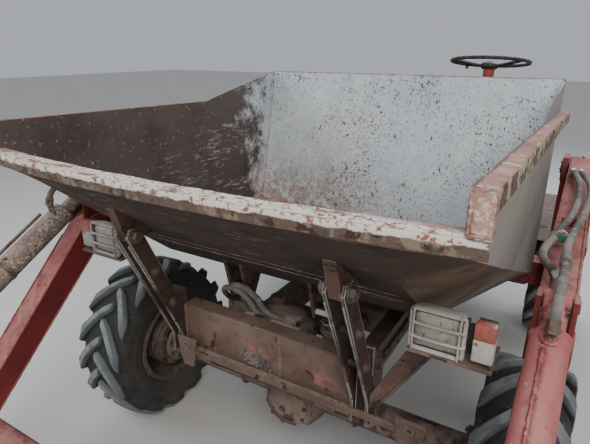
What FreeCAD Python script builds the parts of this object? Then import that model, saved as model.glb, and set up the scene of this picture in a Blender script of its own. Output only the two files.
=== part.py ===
import FreeCAD, Part
import Sketcher
import math
import os
from types import SimpleNamespace

# Self-loading site dumper: a front skip on a rigid four-wheel chassis, with a
# loading shovel on two arms that reach forward past the skip's sides.
# Millimetres. +Z is up, the machine faces -Y and its left side is +X.
# The pieces are drawn round the point on the ground below the front axle, and
# each one's placement then carries it to the origin below the middle of the
# machine's length. So below, y is the distance behind the front axle. Heights
# are drawn with the axles at axle_high, and the placement then lifts the machine
# until its tyres stand on the ground.

# Driving sizes: word, amount, what it measures
SIZES = (
    # Overall
    ("wheelbase", 1800, "front axle to rear axle"),
    ("rear_overhang", 435, "rear axle to the rear face of the weight"),
    # Wheels
    ("tyre_radius", 380, "outer radius over the lugs"),
    ("axle_high", 380, "height of the axles in the drawing, as all heights below are drawn"),
    ("tyre_width", 264, "width of the tyre's section"),
    ("bead_radius", 194, "radius where tyre meets rim"),
    ("wheel_mid", 840, "machine's middle to a wheel's middle"),
    ("hub_radius", 118, "radius of a wheel's drum"),
    ("stub_radius", 45, "radius of a stub axle"),
    ("running_gap", 0.05, "radial gap of a shaft in its bore"),
    # Axles and steering
    ("diff_radius", 130, "radius of an axle's middle casting"),
    ("axle_tube_radius", 58, "radius of an axle's tubes"),
    ("kingpin_x", 655, "machine's middle to a kingpin"),
    ("kingpin_radius", 20, "radius of a kingpin"),
    ("steer_arm", 150, "kingpin to tie rod, behind the axle"),
    ("axle_flange_radius", 92, "radius of the flanges at the axle tubes' ends"),
    ("axle_flange_thick", 16, "thickness of those flanges"),
    ("axle_pad_long", 110, "length of a pad between axle and rail"),
    ("yoke_reach", 112, "axle's middle to a kingpin fork's outer faces"),
    ("yoke_thick", 24, "thickness of a kingpin fork's arms"),
    ("yoke_half", 34, "half width of a kingpin fork"),
    # Chassis
    ("rail_inside", 230, "machine's middle to a rail's inner face"),
    ("rail_wide", 70, "width of a rail"),
    ("rail_low", 500, "height of a rail's lower face"),
    ("rail_deep", 127, "depth of a rail"),
    ("chassis_ahead", 300, "front axle forward to the rails' ends"),
    ("plate_thick", 10, "thickness of the chassis plates"),
    ("member_long", 60, "cross members from front to back"),
    ("rail_nose_deep", 24, "depth of a rail's front end, before it deepens"),
    ("rail_nose_long", 110, "length over which a rail deepens"),
    # Front beam and skip posts
    ("beam_set_back", 18, "rails' front ends to the beam's face"),
    ("beam_thick", 60, "beam from front to back"),
    ("beam_deep", 191, "depth of the front beam"),
    ("lower_rail_thick", 12, "thickness of the rail below the beam"),
    ("lower_rail_deep", 22, "depth of the rail below the beam"),
    ("lug_thick", 12, "thickness of a towing lug"),
    ("lug_high", 120, "height of a towing lug"),
    ("lug_top_half", 46, "half width of a towing lug's upper edge"),
    ("lug_foot_half", 24, "half width of a towing lug's lower edge"),
    ("lug_right_x", 318, "machine's middle right to the right lug's hole"),
    ("lug_left_x", 556, "machine's middle left to the left lug's hole"),
    ("lug_hole_radius", 8, "radius of the towing lugs' holes"),
    ("lug_hole_up", 42, "rails' upper face up to the lugs' holes"),
    ("lug_hole_down", 28, "lugs' upper edges down to their holes"),
    ("post_inside", 352, "machine's middle to a post"),
    ("post_wide", 63, "width of a post over its two plates"),
    ("post_band", 66, "width of a post's plates seen from the side"),
    ("post_foot_low", 600, "height of a post's lower end"),
    # Skip
    ("skip_wall", 6, "thickness of the side walls"),
    ("skip_floor", 9, "thickness of the floor and end panels"),
    ("lip_ahead", 729, "front axle forward to the lip's middle"),
    ("lip_bow", 48, "how far the lip's ends lie behind its middle"),
    ("lip_high", 1443, "height of the lip"),
    ("lip_half", 706, "half width inside the lip"),
    ("skip_rear", 961, "front axle back to the side walls' rear edges"),
    ("skip_rear_half", 736, "half width inside the rear top corners"),
    ("floor_half", 540, "half width of the front panel and floor"),
    ("rim_wide", 39, "width of the rim outside the wall"),
    ("rim_deep", 45, "depth of the rim's outer leg"),
    ("rim_thick", 6, "thickness of the rim's legs"),
    ("lip_deep", 40, "depth of the lip's front leg"),
    ("riser_high", 84, "rim above lip at the front corners"),
    ("knee_back", 343, "front axle back to the rim's bend"),
    ("knee_high", 1498, "height of the rim's bend"),
    ("rim_rear_high", 1480, "height of the rim at the rear"),
    ("back_high", 1613, "height of the back panel's top"),
    ("wall_rear_low", 700, "height of the side walls' rear lower corners"),
    ("pivot_ahead", 478, "front axle forward to the skip's pivot"),
    ("pivot_high", 1160, "height of the skip's pivot"),
    ("pivot_radius", 16, "radius of the skip's pivot pins"),
    ("hinge_play", 3, "gap beside a hinge ear in its post"),
    ("ram_ear_thick", 12, "thickness of the ears that hold the rams"),
    ("ram_ear_inside", 30, "a ram's middle to the inner face of its ear"),
    # Tipping rams
    ("tip_foot_back", 165, "front axle back to the tipping rams' lower pins"),
    ("tip_foot_high", 310, "height of the tipping rams' lower pins"),
    ("tip_eye_ahead", 140, "front axle forward to the tipping rams' upper pins"),
    ("tip_eye_high", 866, "height of the tipping rams' upper pins"),
    ("tip_ram_x", 180, "machine's middle to a tipping ram"),
    ("tip_ram_radius", 38, "radius of a tipping ram's barrel"),
    ("tip_pin_radius", 18, "radius of the tipping rams' pins"),
    # Loader
    ("arm_wide", 90, "width of a loader arm"),
    ("arm_deep", 112, "depth of a loader arm"),
    ("tower_play", 9, "gap beside an arm in its tower"),
    ("tower_plate", 20, "thickness of a tower's cheeks"),
    ("arm_pivot_behind", 65, "skip's rear back to the arms' pivot"),
    ("arm_pivot_high", 1215, "height of the arms' pivot"),
    ("arm_pin_radius", 25, "radius of the arms' pins"),
    ("elbow_ahead", 275, "front axle forward to the arms' elbow"),
    ("elbow_high", 1045, "height of the arms' elbow"),
    ("bucket_pin_ahead", 1170, "front axle forward to the bucket's pins"),
    ("bucket_pin_high", 180, "height of the bucket's pins"),
    ("cross_tube_up", 430, "bucket's pins up the arms to the cross tube"),
    ("cross_tube_radius", 45, "radius of the arms' cross tube"),
    ("lift_foot_ahead", 26, "arms' pivot forward to the lift rams' lower pins"),
    ("lift_foot_high", 480, "height of the lift rams' lower pins"),
    ("lift_eye_ahead", 466, "arms' pivot forward to the lift rams' upper pins"),
    ("lift_eye_high", 1050, "height of the lift rams' upper pins"),
    ("lift_radius", 38, "radius of a lift ram's barrel"),
    ("ram_pin_radius", 16, "radius of the rams' pins"),
    ("crowd_foot_ahead", 300, "front axle forward to the crowd rams' upper pins"),
    ("crowd_foot_high", 1175, "height of the crowd rams' upper pins"),
    ("crowd_eye_ahead", 1310, "front axle forward to the crowd rams' lower pins"),
    ("crowd_eye_high", 608, "height of the crowd rams' lower pins"),
    ("crowd_radius", 42, "radius of a crowd ram's barrel"),
    ("crowd_neck_radius", 27, "radius of the neck between its eye and its barrel"),
    ("crowd_neck_long", 94, "eye to the end of a crowd ram's neck"),
    # Bucket
    ("bucket_reach", 590, "bucket's pins forward to its cutting edge"),
    ("bucket_past_arm", 46, "arms' outer faces out to the bucket's ends"),
    ("bucket_wall", 12, "thickness of the bucket's plates"),
    ("bucket_lift", 16, "bucket's floor above the ground"),
    ("bucket_high", 480, "height of the bucket's top edge above its floor"),
    ("bucket_ear_gap", 8, "gap beside an arm between the bucket's ears"),
    ("bucket_ear_thick", 14, "thickness of the bucket's ears"),
    # Driver's place and rear body
    ("deck_over_tyre", 40, "top of the rear tyres up to the deck's upper face"),
    ("deck_thick", 8, "thickness of the deck"),
    ("deck_half", 960, "half width of the deck over the rear wheels"),
    ("driver_x", 391, "machine's middle to the driver's middle"),
    ("column_behind", 45, "footplate's front edge back to the column's foot"),
    ("wheel_high", 1673, "height of the steering wheel"),
    ("steering_radius", 180, "radius of the steering wheel's ring"),
    ("column_lean", 121, "how far the column leans back over its height"),
    ("seat_back_from", 1400, "front axle back to the seat's front edge"),
    ("seat_long", 400, "length of the seat's cushion"),
    ("seat_wide", 430, "width of the seat"),
    ("seat_high", 1180, "height of the seat box"),
    ("engine_mid", 150, "machine's middle right to the engine's middle"),
    ("engine_wide", 460, "width of the engine block"),
    ("engine_long", 560, "length of the engine block"),
    ("engine_deep", 470, "height of the engine block"),
    ("cover_wide", 640, "width of the engine cover"),
    ("cover_long", 900, "length of the engine cover"),
    ("cover_deep", 470, "height of the engine cover"),
    ("cover_sheet", 3, "thickness of the engine cover's sheet"),
    ("tank_wide", 330, "width of the fuel tank"),
    ("tank_long", 150, "length of the fuel tank"),
    ("weight_thick", 85, "thickness of the rear weight"),
    ("weight_half", 470, "half width of the rear weight"),
    ("jaw_bore_radius", 16, "radius of the towing jaw's pin hole"),
    ("jaw_slot_high", 70, "height of the towing jaw's slot"),
    ("jaw_slot_half", 50, "half width of the towing jaw's slot"),
    ("silencer_radius", 50, "radius of the silencer"),
    ("silencer_high", 380, "height of the silencer"),
    ("tail_pipe_radius", 24, "radius of the tail pipe"),
    ("tail_pipe_high", 640, "deck to the tail pipe's mouth"),
    # Lamps
    ("lamp_x", 618, "machine's middle to a lamp's middle"),
    ("lamp_ahead", 404, "front axle forward to a lamp's face"),
    ("lamp_low", 1001, "height of a lamp's lower edge"),
    ("lamp_wide", 144, "width of a lamp"),
    ("lamp_tall", 128, "height of a lamp"),
    ("marker_wide", 66, "width of the side lamp outboard of it"),
    ("marker_tall", 100, "height of the side lamp"),
)

doc = FreeCAD.newDocument("site_dumper")
sheet = doc.addObject("Spreadsheet::Sheet", "Sizes")


class Size:
    """An amount, with the expression that ties it to the sheet."""

    def __init__(self, value, text):
        self.value = value
        self.text = text

    def __add__(self, other):
        other = as_size(other)
        return Size(self.value + other.value, f"({self.text} + {other.text})")

    def __sub__(self, other):
        other = as_size(other)
        return Size(self.value - other.value, f"({self.text} - {other.text})")

    def __mul__(self, other):
        other = as_size(other)
        return Size(self.value * other.value, f"({self.text} * {other.text})")

    def __truediv__(self, other):
        other = as_size(other)
        return Size(self.value / other.value, f"({self.text} / {other.text})")

    def __neg__(self):
        return Size(-self.value, f"(0 - {self.text})")

    def __radd__(self, other):
        return as_size(other) + self

    def __rsub__(self, other):
        return as_size(other) - self

    def __rmul__(self, other):
        return as_size(other) * self


def as_size(amount):
    if isinstance(amount, Size):
        return amount
    return Size(float(amount), f"({float(amount)!r})")


def root(amount):
    return Size(math.sqrt(amount.value), f"sqrt({amount.text})")


def cosine(degrees):
    degrees = as_size(degrees)
    return Size(math.cos(math.radians(degrees.value)), f"cos({degrees.text})")


def sine(degrees):
    degrees = as_size(degrees)
    return Size(math.sin(math.radians(degrees.value)), f"sin({degrees.text})")


def heading(start, end):
    """Degrees from +Y towards +Z of the line from start to end, both (y, z)."""
    across = as_size(end[0] - start[0])
    up = as_size(end[1] - start[1])
    value = math.degrees(math.atan2(up.value, across.value))
    return Size(value, f"(atan2({up.text}; {across.text}) / 1 deg)")


def span(start, end):
    across = as_size(end[0] - start[0])
    up = as_size(end[1] - start[1])
    return root(across * across + up * up)


def along(point, degrees, distance):
    """The (y, z) point at a distance from another in a direction."""
    return (point[0] + cosine(degrees) * distance, point[1] + sine(degrees) * distance)


def fill_sheet():
    names = {}
    for row, (word, amount, meaning) in enumerate(SIZES, start=1):
        sheet.set(f"A{row}", meaning)
        sheet.set(f"B{row}", str(amount))
        sheet.setAlias(f"B{row}", word)
        names[word] = Size(float(amount), f"Sizes.{word}")
    doc.recompute()
    return SimpleNamespace(**names)


s = fill_sheet()


# Ways of making shapes

def bind(thing, property_name, amount):
    thing.setExpression(property_name, as_size(amount).text)


def place(thing, x=0, y=0, z=0, turn_axis=None, turn=0):
    spot = FreeCAD.Vector(as_size(x).value, as_size(y).value, as_size(z).value)
    rotation = FreeCAD.Rotation()
    if turn_axis:
        rotation = FreeCAD.Rotation(FreeCAD.Vector(*turn_axis), as_size(turn).value)
    thing.Placement = FreeCAD.Placement(spot, rotation)
    bind(thing, "Placement.Base.x", x)
    bind(thing, "Placement.Base.y", y)
    bind(thing, "Placement.Base.z", z)
    if isinstance(turn, Size):
        bind(thing, "Placement.Rotation.Angle", turn)


def block(name, x, y, z):
    """A box between three (low, high) pairs."""
    box = doc.addObject("Part::Box", name)
    bind(box, "Length", x[1] - x[0])
    bind(box, "Width", y[1] - y[0])
    bind(box, "Height", z[1] - z[0])
    place(box, x[0], y[0], z[0])
    return box


def bar(name, axis, spot, radius, low, high):
    """A round bar along an axis: spot holds its two other coordinates."""
    rod = doc.addObject("Part::Cylinder", name)
    bind(rod, "Radius", radius)
    bind(rod, "Height", high - low)
    if axis == "x":
        place(rod, low, spot[0], spot[1], (0, 1, 0), 90)
    elif axis == "y":
        place(rod, spot[0], low, spot[1], (1, 0, 0), -90)
    else:
        place(rod, spot[0], spot[1], low)
    return rod


def slanted(name, x, foot, degrees, radius, low, high):
    """A round bar in a side plane, from low to high along a heading."""
    rod = doc.addObject("Part::Cylinder", name)
    bind(rod, "Radius", radius)
    bind(rod, "Height", high - low)
    start = along(foot, degrees, low)
    place(rod, x, start[0], start[1], (1, 0, 0), degrees - 90)
    return rod


def origin_plane(body, role):
    for feature in body.Origin.OriginFeatures:
        if feature.Role == role:
            return feature
    raise ValueError(role)


def draw(body, role, offset, outline):
    """A closed outline of straight lines, each corner tied to its sizes."""
    offset = as_size(offset)
    corners = [(as_size(a), as_size(b)) for a, b in outline]
    sketch = body.newObject("Sketcher::SketchObject", body.Name + "_outline")
    sketch.AttachmentSupport = (origin_plane(body, role), "")
    sketch.MapMode = "FlatFace"
    lift = FreeCAD.Vector(0, 0, offset.value)
    sketch.AttachmentOffset = FreeCAD.Placement(lift, FreeCAD.Rotation())
    bind(sketch, "AttachmentOffset.Base.z", offset)
    count = len(corners)
    lines = []
    for index in range(count):
        here = corners[index]
        there = corners[(index + 1) % count]
        start = FreeCAD.Vector(here[0].value, here[1].value, 0)
        end = FreeCAD.Vector(there[0].value, there[1].value, 0)
        lines.append(Part.LineSegment(start, end))
    sketch.addGeometry(lines)
    rules = []
    for index in range(count):
        rules.append(Sketcher.Constraint("Coincident", index, 2, (index + 1) % count, 1))
    for index, (across, up) in enumerate(corners):
        rules.append(Sketcher.Constraint("DistanceX", -1, 1, index, 1, across.value))
        rules.append(Sketcher.Constraint("DistanceY", -1, 1, index, 1, up.value))
    sketch.addConstraint(rules)
    for index, (across, up) in enumerate(corners):
        rule = count + 2 * index
        sketch.renameConstraint(rule, f"across_{index}")
        sketch.renameConstraint(rule + 1, f"up_{index}")
        bind(sketch, f"Constraints.across_{index}", across)
        bind(sketch, f"Constraints.up_{index}", up)
    return sketch


def padded_body(name, role, offset, outline, length):
    body = doc.addObject("PartDesign::Body", name)
    pad = body.newObject("PartDesign::Pad", name + "_pad")
    sketch = draw(body, role, offset, outline)
    pad.Profile = sketch
    bind(pad, "Length", length)
    body.Tip = pad
    return body


def side_plate(name, outline, x):
    """An outline of (y, z) corners, padded between two x."""
    return padded_body(name, "YZ_Plane", x[0], outline, x[1] - x[0])


def cross_plate(name, outline, y):
    """An outline of (x, z) corners, padded between two y."""
    return padded_body(name, "XZ_Plane", -y[1], outline, y[1] - y[0])


def turned(name, outline, x, y, z):
    """An outline of (x, radius) corners, turned about a line along X."""
    body = doc.addObject("PartDesign::Body", name)
    sketch = draw(body, "XZ_Plane", 0, outline)
    turn = body.newObject("PartDesign::Revolution", name + "_turn")
    turn.Profile = sketch
    turn.ReferenceAxis = (sketch, ["H_Axis"])
    turn.Angle = 360
    body.Tip = turn
    place(body, x, y, z)
    return body


def lofted(name, sections):
    """A ruled loft through (y, outline of (x, z) corners) sections."""
    body = doc.addObject("PartDesign::Body", name)
    sketches = [draw(body, "XZ_Plane", -as_size(y), outline) for y, outline in sections]
    loft = body.newObject("PartDesign::AdditiveLoft", name + "_loft")
    loft.Profile = sketches[0]
    loft.Sections = sketches[1:]
    loft.Ruled = True
    body.Tip = loft
    return body


def mirrored(thing):
    image = doc.addObject("Part::Mirroring", thing.Name + "_image")
    image.Source = thing
    image.Normal = (1, 0, 0)
    return image


def both_sides(things):
    return list(things) + [mirrored(thing) for thing in things]


def joined(name, things):
    fusion = doc.addObject("Part::MultiFuse", name)
    fusion.Shapes = things
    return fusion


def grouped(name, things):
    compound = doc.addObject("Part::Compound", name)
    compound.Links = things
    return compound


def less(name, base, tool):
    cut = doc.addObject("Part::Cut", name)
    cut.Base = base
    cut.Tool = tool
    return cut


def shared(name, base, tool):
    common = doc.addObject("Part::Common", name)
    common.Base = base
    common.Tool = tool
    return common


# Places that several pieces use

# How far a ram's pin stands out of its ear
pin_over = 4
# Gap that keeps the seat's padding clear of the steel behind and below it
fabric_gap = 0.3

ground = as_size(0)
middle = as_size(0)
hub_centre = (ground, s.axle_high)
rear_centre = (s.wheelbase, s.axle_high)
rail_outside = s.rail_inside + s.rail_wide
rail_top = s.rail_low + s.rail_deep
chassis_rear = s.wheelbase + s.rear_overhang - s.weight_thick
tip_pivot = (-s.pivot_ahead, s.pivot_high)
tip_foot = (s.tip_foot_back, s.tip_foot_high)
tip_eye = (-s.tip_eye_ahead, s.tip_eye_high)
arm_pivot = (s.skip_rear + s.arm_pivot_behind, s.arm_pivot_high)
elbow = (-s.elbow_ahead, s.elbow_high)
bucket_pin = (-s.bucket_pin_ahead, s.bucket_pin_high)
lift_foot = (arm_pivot[0] - s.lift_foot_ahead, s.lift_foot_high)
lift_eye = (arm_pivot[0] - s.lift_eye_ahead, s.lift_eye_high)
crowd_foot = (-s.crowd_foot_ahead, s.crowd_foot_high)
crowd_eye = (-s.crowd_eye_ahead, s.crowd_eye_high)
arm_inside = s.skip_rear_half + s.skip_wall + s.rim_wide + s.tower_play * 2 + s.tower_plate
arm_mid = arm_inside + s.arm_wide / 2
tower_inside = arm_inside - s.tower_play - s.tower_plate
tower_outside = arm_inside + s.arm_wide + s.tower_play + s.tower_plate
axle_shift = (s.bucket_pin_ahead + s.bucket_reach - s.wheelbase - s.rear_overhang) / 2
stand = s.tyre_radius - s.axle_high
beam_front = -s.chassis_ahead + s.beam_set_back
beam_rear = beam_front + s.beam_thick
beam_top = rail_top + s.beam_deep
post_outside = s.post_inside + s.post_wide
deck_high = s.axle_high + s.tyre_radius + s.deck_over_tyre
deck_under = deck_high - s.deck_thick
deck_front = s.skip_rear + 34


# Chassis

def main_frame():
    """Two box rails, their cross members and the tipping rams' hangers."""
    nose_end = s.rail_nose_long - s.chassis_ahead
    rail = side_plate("rail", (
        (-s.chassis_ahead, rail_top),
        (-s.chassis_ahead, rail_top - s.rail_nose_deep),
        (nose_end, s.rail_low),
        (chassis_rear, s.rail_low),
        (chassis_rear, rail_top),
    ), (s.rail_inside, rail_outside))
    parts = both_sides([rail])
    # Cross members: name, front face
    members = (
        ("front_member", nose_end),
        ("middle_member", s.tip_foot_back + 395),
        ("deck_member", deck_front + 135),
        ("rear_member", chassis_rear - s.member_long),
    )
    for name, front in members:
        parts.append(block(name, (-s.rail_inside, s.rail_inside), (front, front + s.member_long),
                           (s.rail_low, rail_top)))
    foot_y, foot_z = tip_foot
    hanger = side_plate("ram_hanger", (
        (foot_y - 60, s.rail_low),
        (foot_y + 60, s.rail_low),
        (foot_y + 36, foot_z - 36),
        (foot_y - 36, foot_z - 36),
    ), (s.rail_inside + 30, s.rail_inside + 50))
    parts += both_sides([hanger])
    pin = bar("tip_foot_pin", "x", tip_foot, s.tip_pin_radius, s.tip_ram_x - 34, s.rail_inside + 52)
    parts += both_sides([pin])
    return joined("main_frame", parts)


def front_beam():
    """The deep beam between the posts, the rail below it and two towing lugs."""
    wide = (-s.post_inside, s.post_inside)
    beam = block("beam", wide, (beam_front, beam_rear), (rail_top, beam_top))
    rail_front = -s.chassis_ahead - s.lower_rail_thick
    right_end = -s.lug_right_x - s.lug_top_half
    left_end = s.lug_left_x + s.lug_top_half
    low = rail_top + 8
    lower = block("lower_rail", (right_end, left_end), (rail_front, -s.chassis_ahead),
                  (low, low + s.lower_rail_deep))
    shelf = block("beam_shelf", wide, (rail_front, beam_front), (rail_top, rail_top + s.lower_rail_thick))
    lugs = [
        towing_lug("right_lug", -s.lug_right_x, rail_front),
        towing_lug("left_lug", s.lug_left_x, rail_front),
    ]
    return joined("front_beam", [beam, lower, shelf] + lugs)


def towing_lug(name, x, rear):
    """A tapered plate with one hole, in front of the rail below the beam."""
    high = rail_top + s.lug_hole_up + s.lug_hole_down
    low = high - s.lug_high
    plate = cross_plate(name, (
        (x - s.lug_top_half, high),
        (x - s.lug_foot_half, low),
        (x + s.lug_foot_half, low),
        (x + s.lug_top_half, high),
    ), (rear - s.lug_thick, rear))
    spot = (x, rail_top + s.lug_hole_up)
    hole = bar(name + "_hole", "y", spot, s.lug_hole_radius, rear - s.lug_thick - 5, rear + 5)
    return less("drilled_" + name, plate, hole)


def skip_posts():
    """Two slanting posts, each of two plates, with the skip's pivot pins."""
    pivot_y, pivot_z = tip_pivot
    half = s.post_band / 2
    foot_y = -s.chassis_ahead + half
    outline = (
        (foot_y - half, s.post_foot_low),
        (foot_y + half, s.post_foot_low),
        (foot_y + half, rail_top + 60),
        (pivot_y + half, pivot_z),
        (pivot_y + half - 14, pivot_z + 26),
        (pivot_y - half + 14, pivot_z + 26),
        (pivot_y - half, pivot_z),
        (foot_y - half, rail_top + 56),
    )
    inner = side_plate("post_inner_plate", outline, (s.post_inside, s.post_inside + s.plate_thick))
    outer = side_plate("post_outer_plate", outline, (post_outside - s.plate_thick, post_outside))
    web = block("post_web", (s.post_inside, post_outside), (beam_front + 7, beam_front + 17),
                (s.post_foot_low, beam_top + 60))
    pin = bar("skip_pivot_pin", "x", tip_pivot, s.pivot_radius, s.post_inside - 8, post_outside + 8)
    post = joined("skip_post", [inner, outer, web, pin])
    return grouped("skip_posts", both_sides([post]))


def axle_pads(y):
    """The blocks that carry the rails on an axle's tubes."""
    half = s.axle_pad_long / 2
    pad = block("axle_pad", (s.rail_inside, rail_outside), (y - half, y + half), (s.axle_high, s.rail_low))
    return both_sides([pad])


def front_axle_housing():
    """The driving front axle: banjo, tubes, end flanges and stub axles."""
    diff_end = s.tip_ram_x - s.tip_ram_radius - 10
    end = s.wheel_mid - s.tyre_width / 2 - 18
    flange = end - s.axle_flange_thick
    casting = turned("front_casting", (
        (-end, 0),
        (-end, s.axle_flange_radius),
        (-flange, s.axle_flange_radius),
        (-flange, s.axle_tube_radius),
        (-diff_end, s.axle_tube_radius),
        (-s.diff_radius * 0.6, s.diff_radius),
        (s.diff_radius * 0.6, s.diff_radius),
        (diff_end, s.axle_tube_radius),
        (flange, s.axle_tube_radius),
        (flange, s.axle_flange_radius),
        (end, s.axle_flange_radius),
        (end, 0),
    ), 0, 0, s.axle_high)
    nose = bar("front_nose", "y", (middle, s.axle_high), 72, s.diff_radius * 0.5, s.diff_radius + 90)
    stub = bar("front_stub", "x", hub_centre, s.stub_radius, end - 10, s.wheel_mid + 50)
    return joined("front_axle_housing", [casting, nose] + both_sides([stub]) + axle_pads(ground))


def rear_axle_housing():
    """The steered rear axle: banjo, tubes and the forks for the kingpins."""
    fork = s.kingpin_x - 75
    casting = turned("rear_casting", (
        (-fork, 0),
        (-fork, s.axle_tube_radius),
        (-s.diff_radius - 30, s.axle_tube_radius + 6),
        (-s.diff_radius * 0.8, s.diff_radius * 0.72),
        (-s.diff_radius * 0.42, s.diff_radius * 0.94),
        (s.diff_radius * 0.42, s.diff_radius * 0.94),
        (s.diff_radius * 0.8, s.diff_radius * 0.72),
        (s.diff_radius + 30, s.axle_tube_radius + 6),
        (fork, s.axle_tube_radius),
        (fork, 0),
    ), 0, s.wheelbase, s.axle_high)
    nose = bar("rear_nose", "y", (middle, s.axle_high), 66, s.wheelbase - s.diff_radius - 80,
               s.wheelbase - 60)
    depth = (s.wheelbase - s.yoke_half, s.wheelbase + s.yoke_half)
    bottom = s.axle_high - s.yoke_reach
    top = s.axle_high + s.yoke_reach
    kingpin = (s.kingpin_x, s.wheelbase)
    parts = [block("yoke_back", (fork - 5, fork + 20), depth, (bottom, top))]
    for word, low in (("lower", bottom), ("upper", top - s.yoke_thick)):
        high = low + s.yoke_thick
        parts.append(block("yoke_" + word, (fork, s.kingpin_x), depth, (low, high)))
        parts.append(bar(f"yoke_{word}_end", "z", kingpin, s.yoke_half, low, high))
    bore = bar("kingpin_bore", "z", kingpin, s.kingpin_radius + s.running_gap, bottom - 8, top + 8)
    yoke = less("yoke", joined("solid_yoke", parts), bore)
    return joined("rear_axle_housing", [casting, nose] + both_sides([yoke]) + axle_pads(s.wheelbase))


def knuckle(name, side):
    """A steered knuckle with its kingpin, stub axle and steering arm."""
    x, y, z = s.kingpin_x * side, s.wheelbase, s.axle_high
    tall = s.yoke_reach - s.yoke_thick - 1
    pin_end = s.yoke_reach + 2
    barrel = bar(name + "_barrel", "z", (x, y), 32, z - tall, z + tall)
    pin = bar(name + "_kingpin", "z", (x, y), s.kingpin_radius, z - pin_end, z + pin_end)
    stub_end = (s.wheel_mid + 50) * side
    low, high = (x, stub_end) if side > 0 else (stub_end, x)
    stub = bar(name + "_stub", "x", (y, z), s.stub_radius, low, high)
    flange_x = (s.kingpin_x + 30) * side
    ends = (flange_x, flange_x + 8) if side > 0 else (flange_x - 8, flange_x)
    flange = bar(name + "_flange", "x", (y, z), 84, ends[0], ends[1])
    arm_x = sorted((x - 14, x + 14), key=lambda edge: edge.value)
    arm_z = (z - tall + 3, z - tall + 25)
    arm = block(name + "_arm", tuple(arm_x), (y + 10, y + s.steer_arm), arm_z)
    end = bar(name + "_arm_end", "z", (x, y + s.steer_arm), 22, arm_z[0], arm_z[1])
    return joined(name, [barrel, pin, stub, flange, arm, end])


def tie_rod():
    """The rod behind the rear axle, its ends just under the steering arms."""
    y = s.wheelbase + s.steer_arm
    z = s.axle_high - s.yoke_reach + s.yoke_thick - 10
    rod = bar("tie_rod_bar", "x", (y, z), 13, -s.kingpin_x, s.kingpin_x)
    end = bar("tie_rod_end", "z", (s.kingpin_x, y), 22, z - 14, z + 13.7)
    return joined("tie_rod", [rod] + both_sides([end]))


def gearbox_housing():
    """The gearbox between the rails, and the two shafts to the axles."""
    front = s.tip_foot_back + 470
    rear = deck_front + 131
    z = s.axle_high + 60
    case = cross_plate("gearbox_case", (
        (-125, z - 75),
        (-80, z - 120),
        (80, z - 120),
        (125, z - 75),
        (125, rail_top - 12),
        (-125, rail_top - 12),
    ), (front, rear))
    ears = block("gearbox_ears", (-s.rail_inside, s.rail_inside), (front + 60, front + 110),
                 (s.rail_low + 20, s.rail_low + 60))
    front_shaft = bar("front_shaft", "y", (middle, s.axle_high), 28, s.diff_radius + 90, front)
    rear_shaft = bar("rear_shaft", "y", (middle, s.axle_high), 28, rear, s.wheelbase - s.diff_radius - 80)
    return joined("gearbox_housing", [case, ears, front_shaft, rear_shaft])


# Wheels

def tyre(name, side, y):
    half = s.tyre_width / 2
    bead = half - 21
    body = turned(name + "_ring", (
        (-bead, s.bead_radius),
        (bead, s.bead_radius),
        (bead, s.bead_radius + 15),
        (half - 7, s.bead_radius + 42),
        (half, s.bead_radius + 88),
        (half - 4, s.tyre_radius - 48),
        (half - 20, s.tyre_radius - 17),
        (half * 0.45, s.tyre_radius - 3),
        (0, s.tyre_radius),
        (half * -0.45, s.tyre_radius - 3),
        (20 - half, s.tyre_radius - 17),
        (4 - half, s.tyre_radius - 48),
        (-half, s.bead_radius + 88),
        (7 - half, s.bead_radius + 42),
        (-bead, s.bead_radius + 15),
    ), s.wheel_mid * side, y, s.axle_high)
    return grouped(name, [body])


def rim(name, side, y):
    """A drop-centre rim with its disc and a drum bored for the stub axle."""
    barrel = s.bead_radius - 0.3
    inner = barrel - 8
    edge = s.tyre_width / 2 - 20
    bore = s.stub_radius + s.running_gap
    outline = (
        (-135, bore),
        (62, bore),
        (62, 62),
        (38, 74),
        (30, s.hub_radius),
        (30, inner),
        (edge + 6, inner),
        (edge + 6, barrel + 14),
        (edge, barrel + 14),
        (edge, barrel),
        (-edge, barrel),
        (-edge, barrel + 14),
        (-edge - 6, barrel + 14),
        (-edge - 6, inner),
        (22, inner),
        (22, s.hub_radius),
        (-135, s.hub_radius),
    )
    facing = tuple((across * side, up) for across, up in outline)
    body = turned(name + "_disc", facing, s.wheel_mid * side, y, s.axle_high)
    return grouped(name, [body])


# Skip

wall_fall = (s.lip_high - 48 - s.wall_rear_low) / (s.skip_rear + s.lip_ahead - 41)
floor_front = (as_size(-150), as_size(955))
floor_rear = (as_size(621), as_size(666))
back_foot = (as_size(819), as_size(882))
back_bend = (as_size(945), s.rim_rear_high + 10)
back_top = (s.skip_rear, s.back_high)
skip_cap = s.back_high + 60


def half_width(y):
    """Half width inside the skip's side walls at a distance back."""
    rise = (s.skip_rear_half - s.lip_half) / (s.skip_rear + s.lip_ahead)
    return s.lip_half + rise * (y + s.lip_ahead)


def wall_foot(y):
    """Height of a side wall's lower edge at a distance back."""
    return s.lip_high - 48 - wall_fall * (y + s.lip_ahead - 41)


def trough(name, sections, inset, lift):
    """A solid trough through sections: distance back, floor height, wall foot."""
    outlines = []
    for y, floor, foot in sections:
        wide = half_width(y) + s.skip_wall - inset
        flat = s.floor_half - inset / 2
        outlines.append((y, (
            (-wide, skip_cap),
            (-wide, foot + lift),
            (-flat, floor + lift),
            (flat, floor + lift),
            (wide, foot + lift),
            (wide, skip_cap),
        )))
    return lofted(name, outlines)


def skip_sections(front, rear):
    lip_under = s.lip_high - s.rim_thick - s.skip_floor - 8
    rear_floor = floor_rear[1] + (floor_rear[1] - floor_front[1]) * 0.3
    return (
        (front, lip_under, lip_under + 1),
        (floor_front[0], floor_front[1], wall_foot(floor_front[0])),
        (floor_rear[0], floor_rear[1], wall_foot(floor_rear[0])),
        (rear, rear_floor, s.wall_rear_low),
    )


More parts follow.
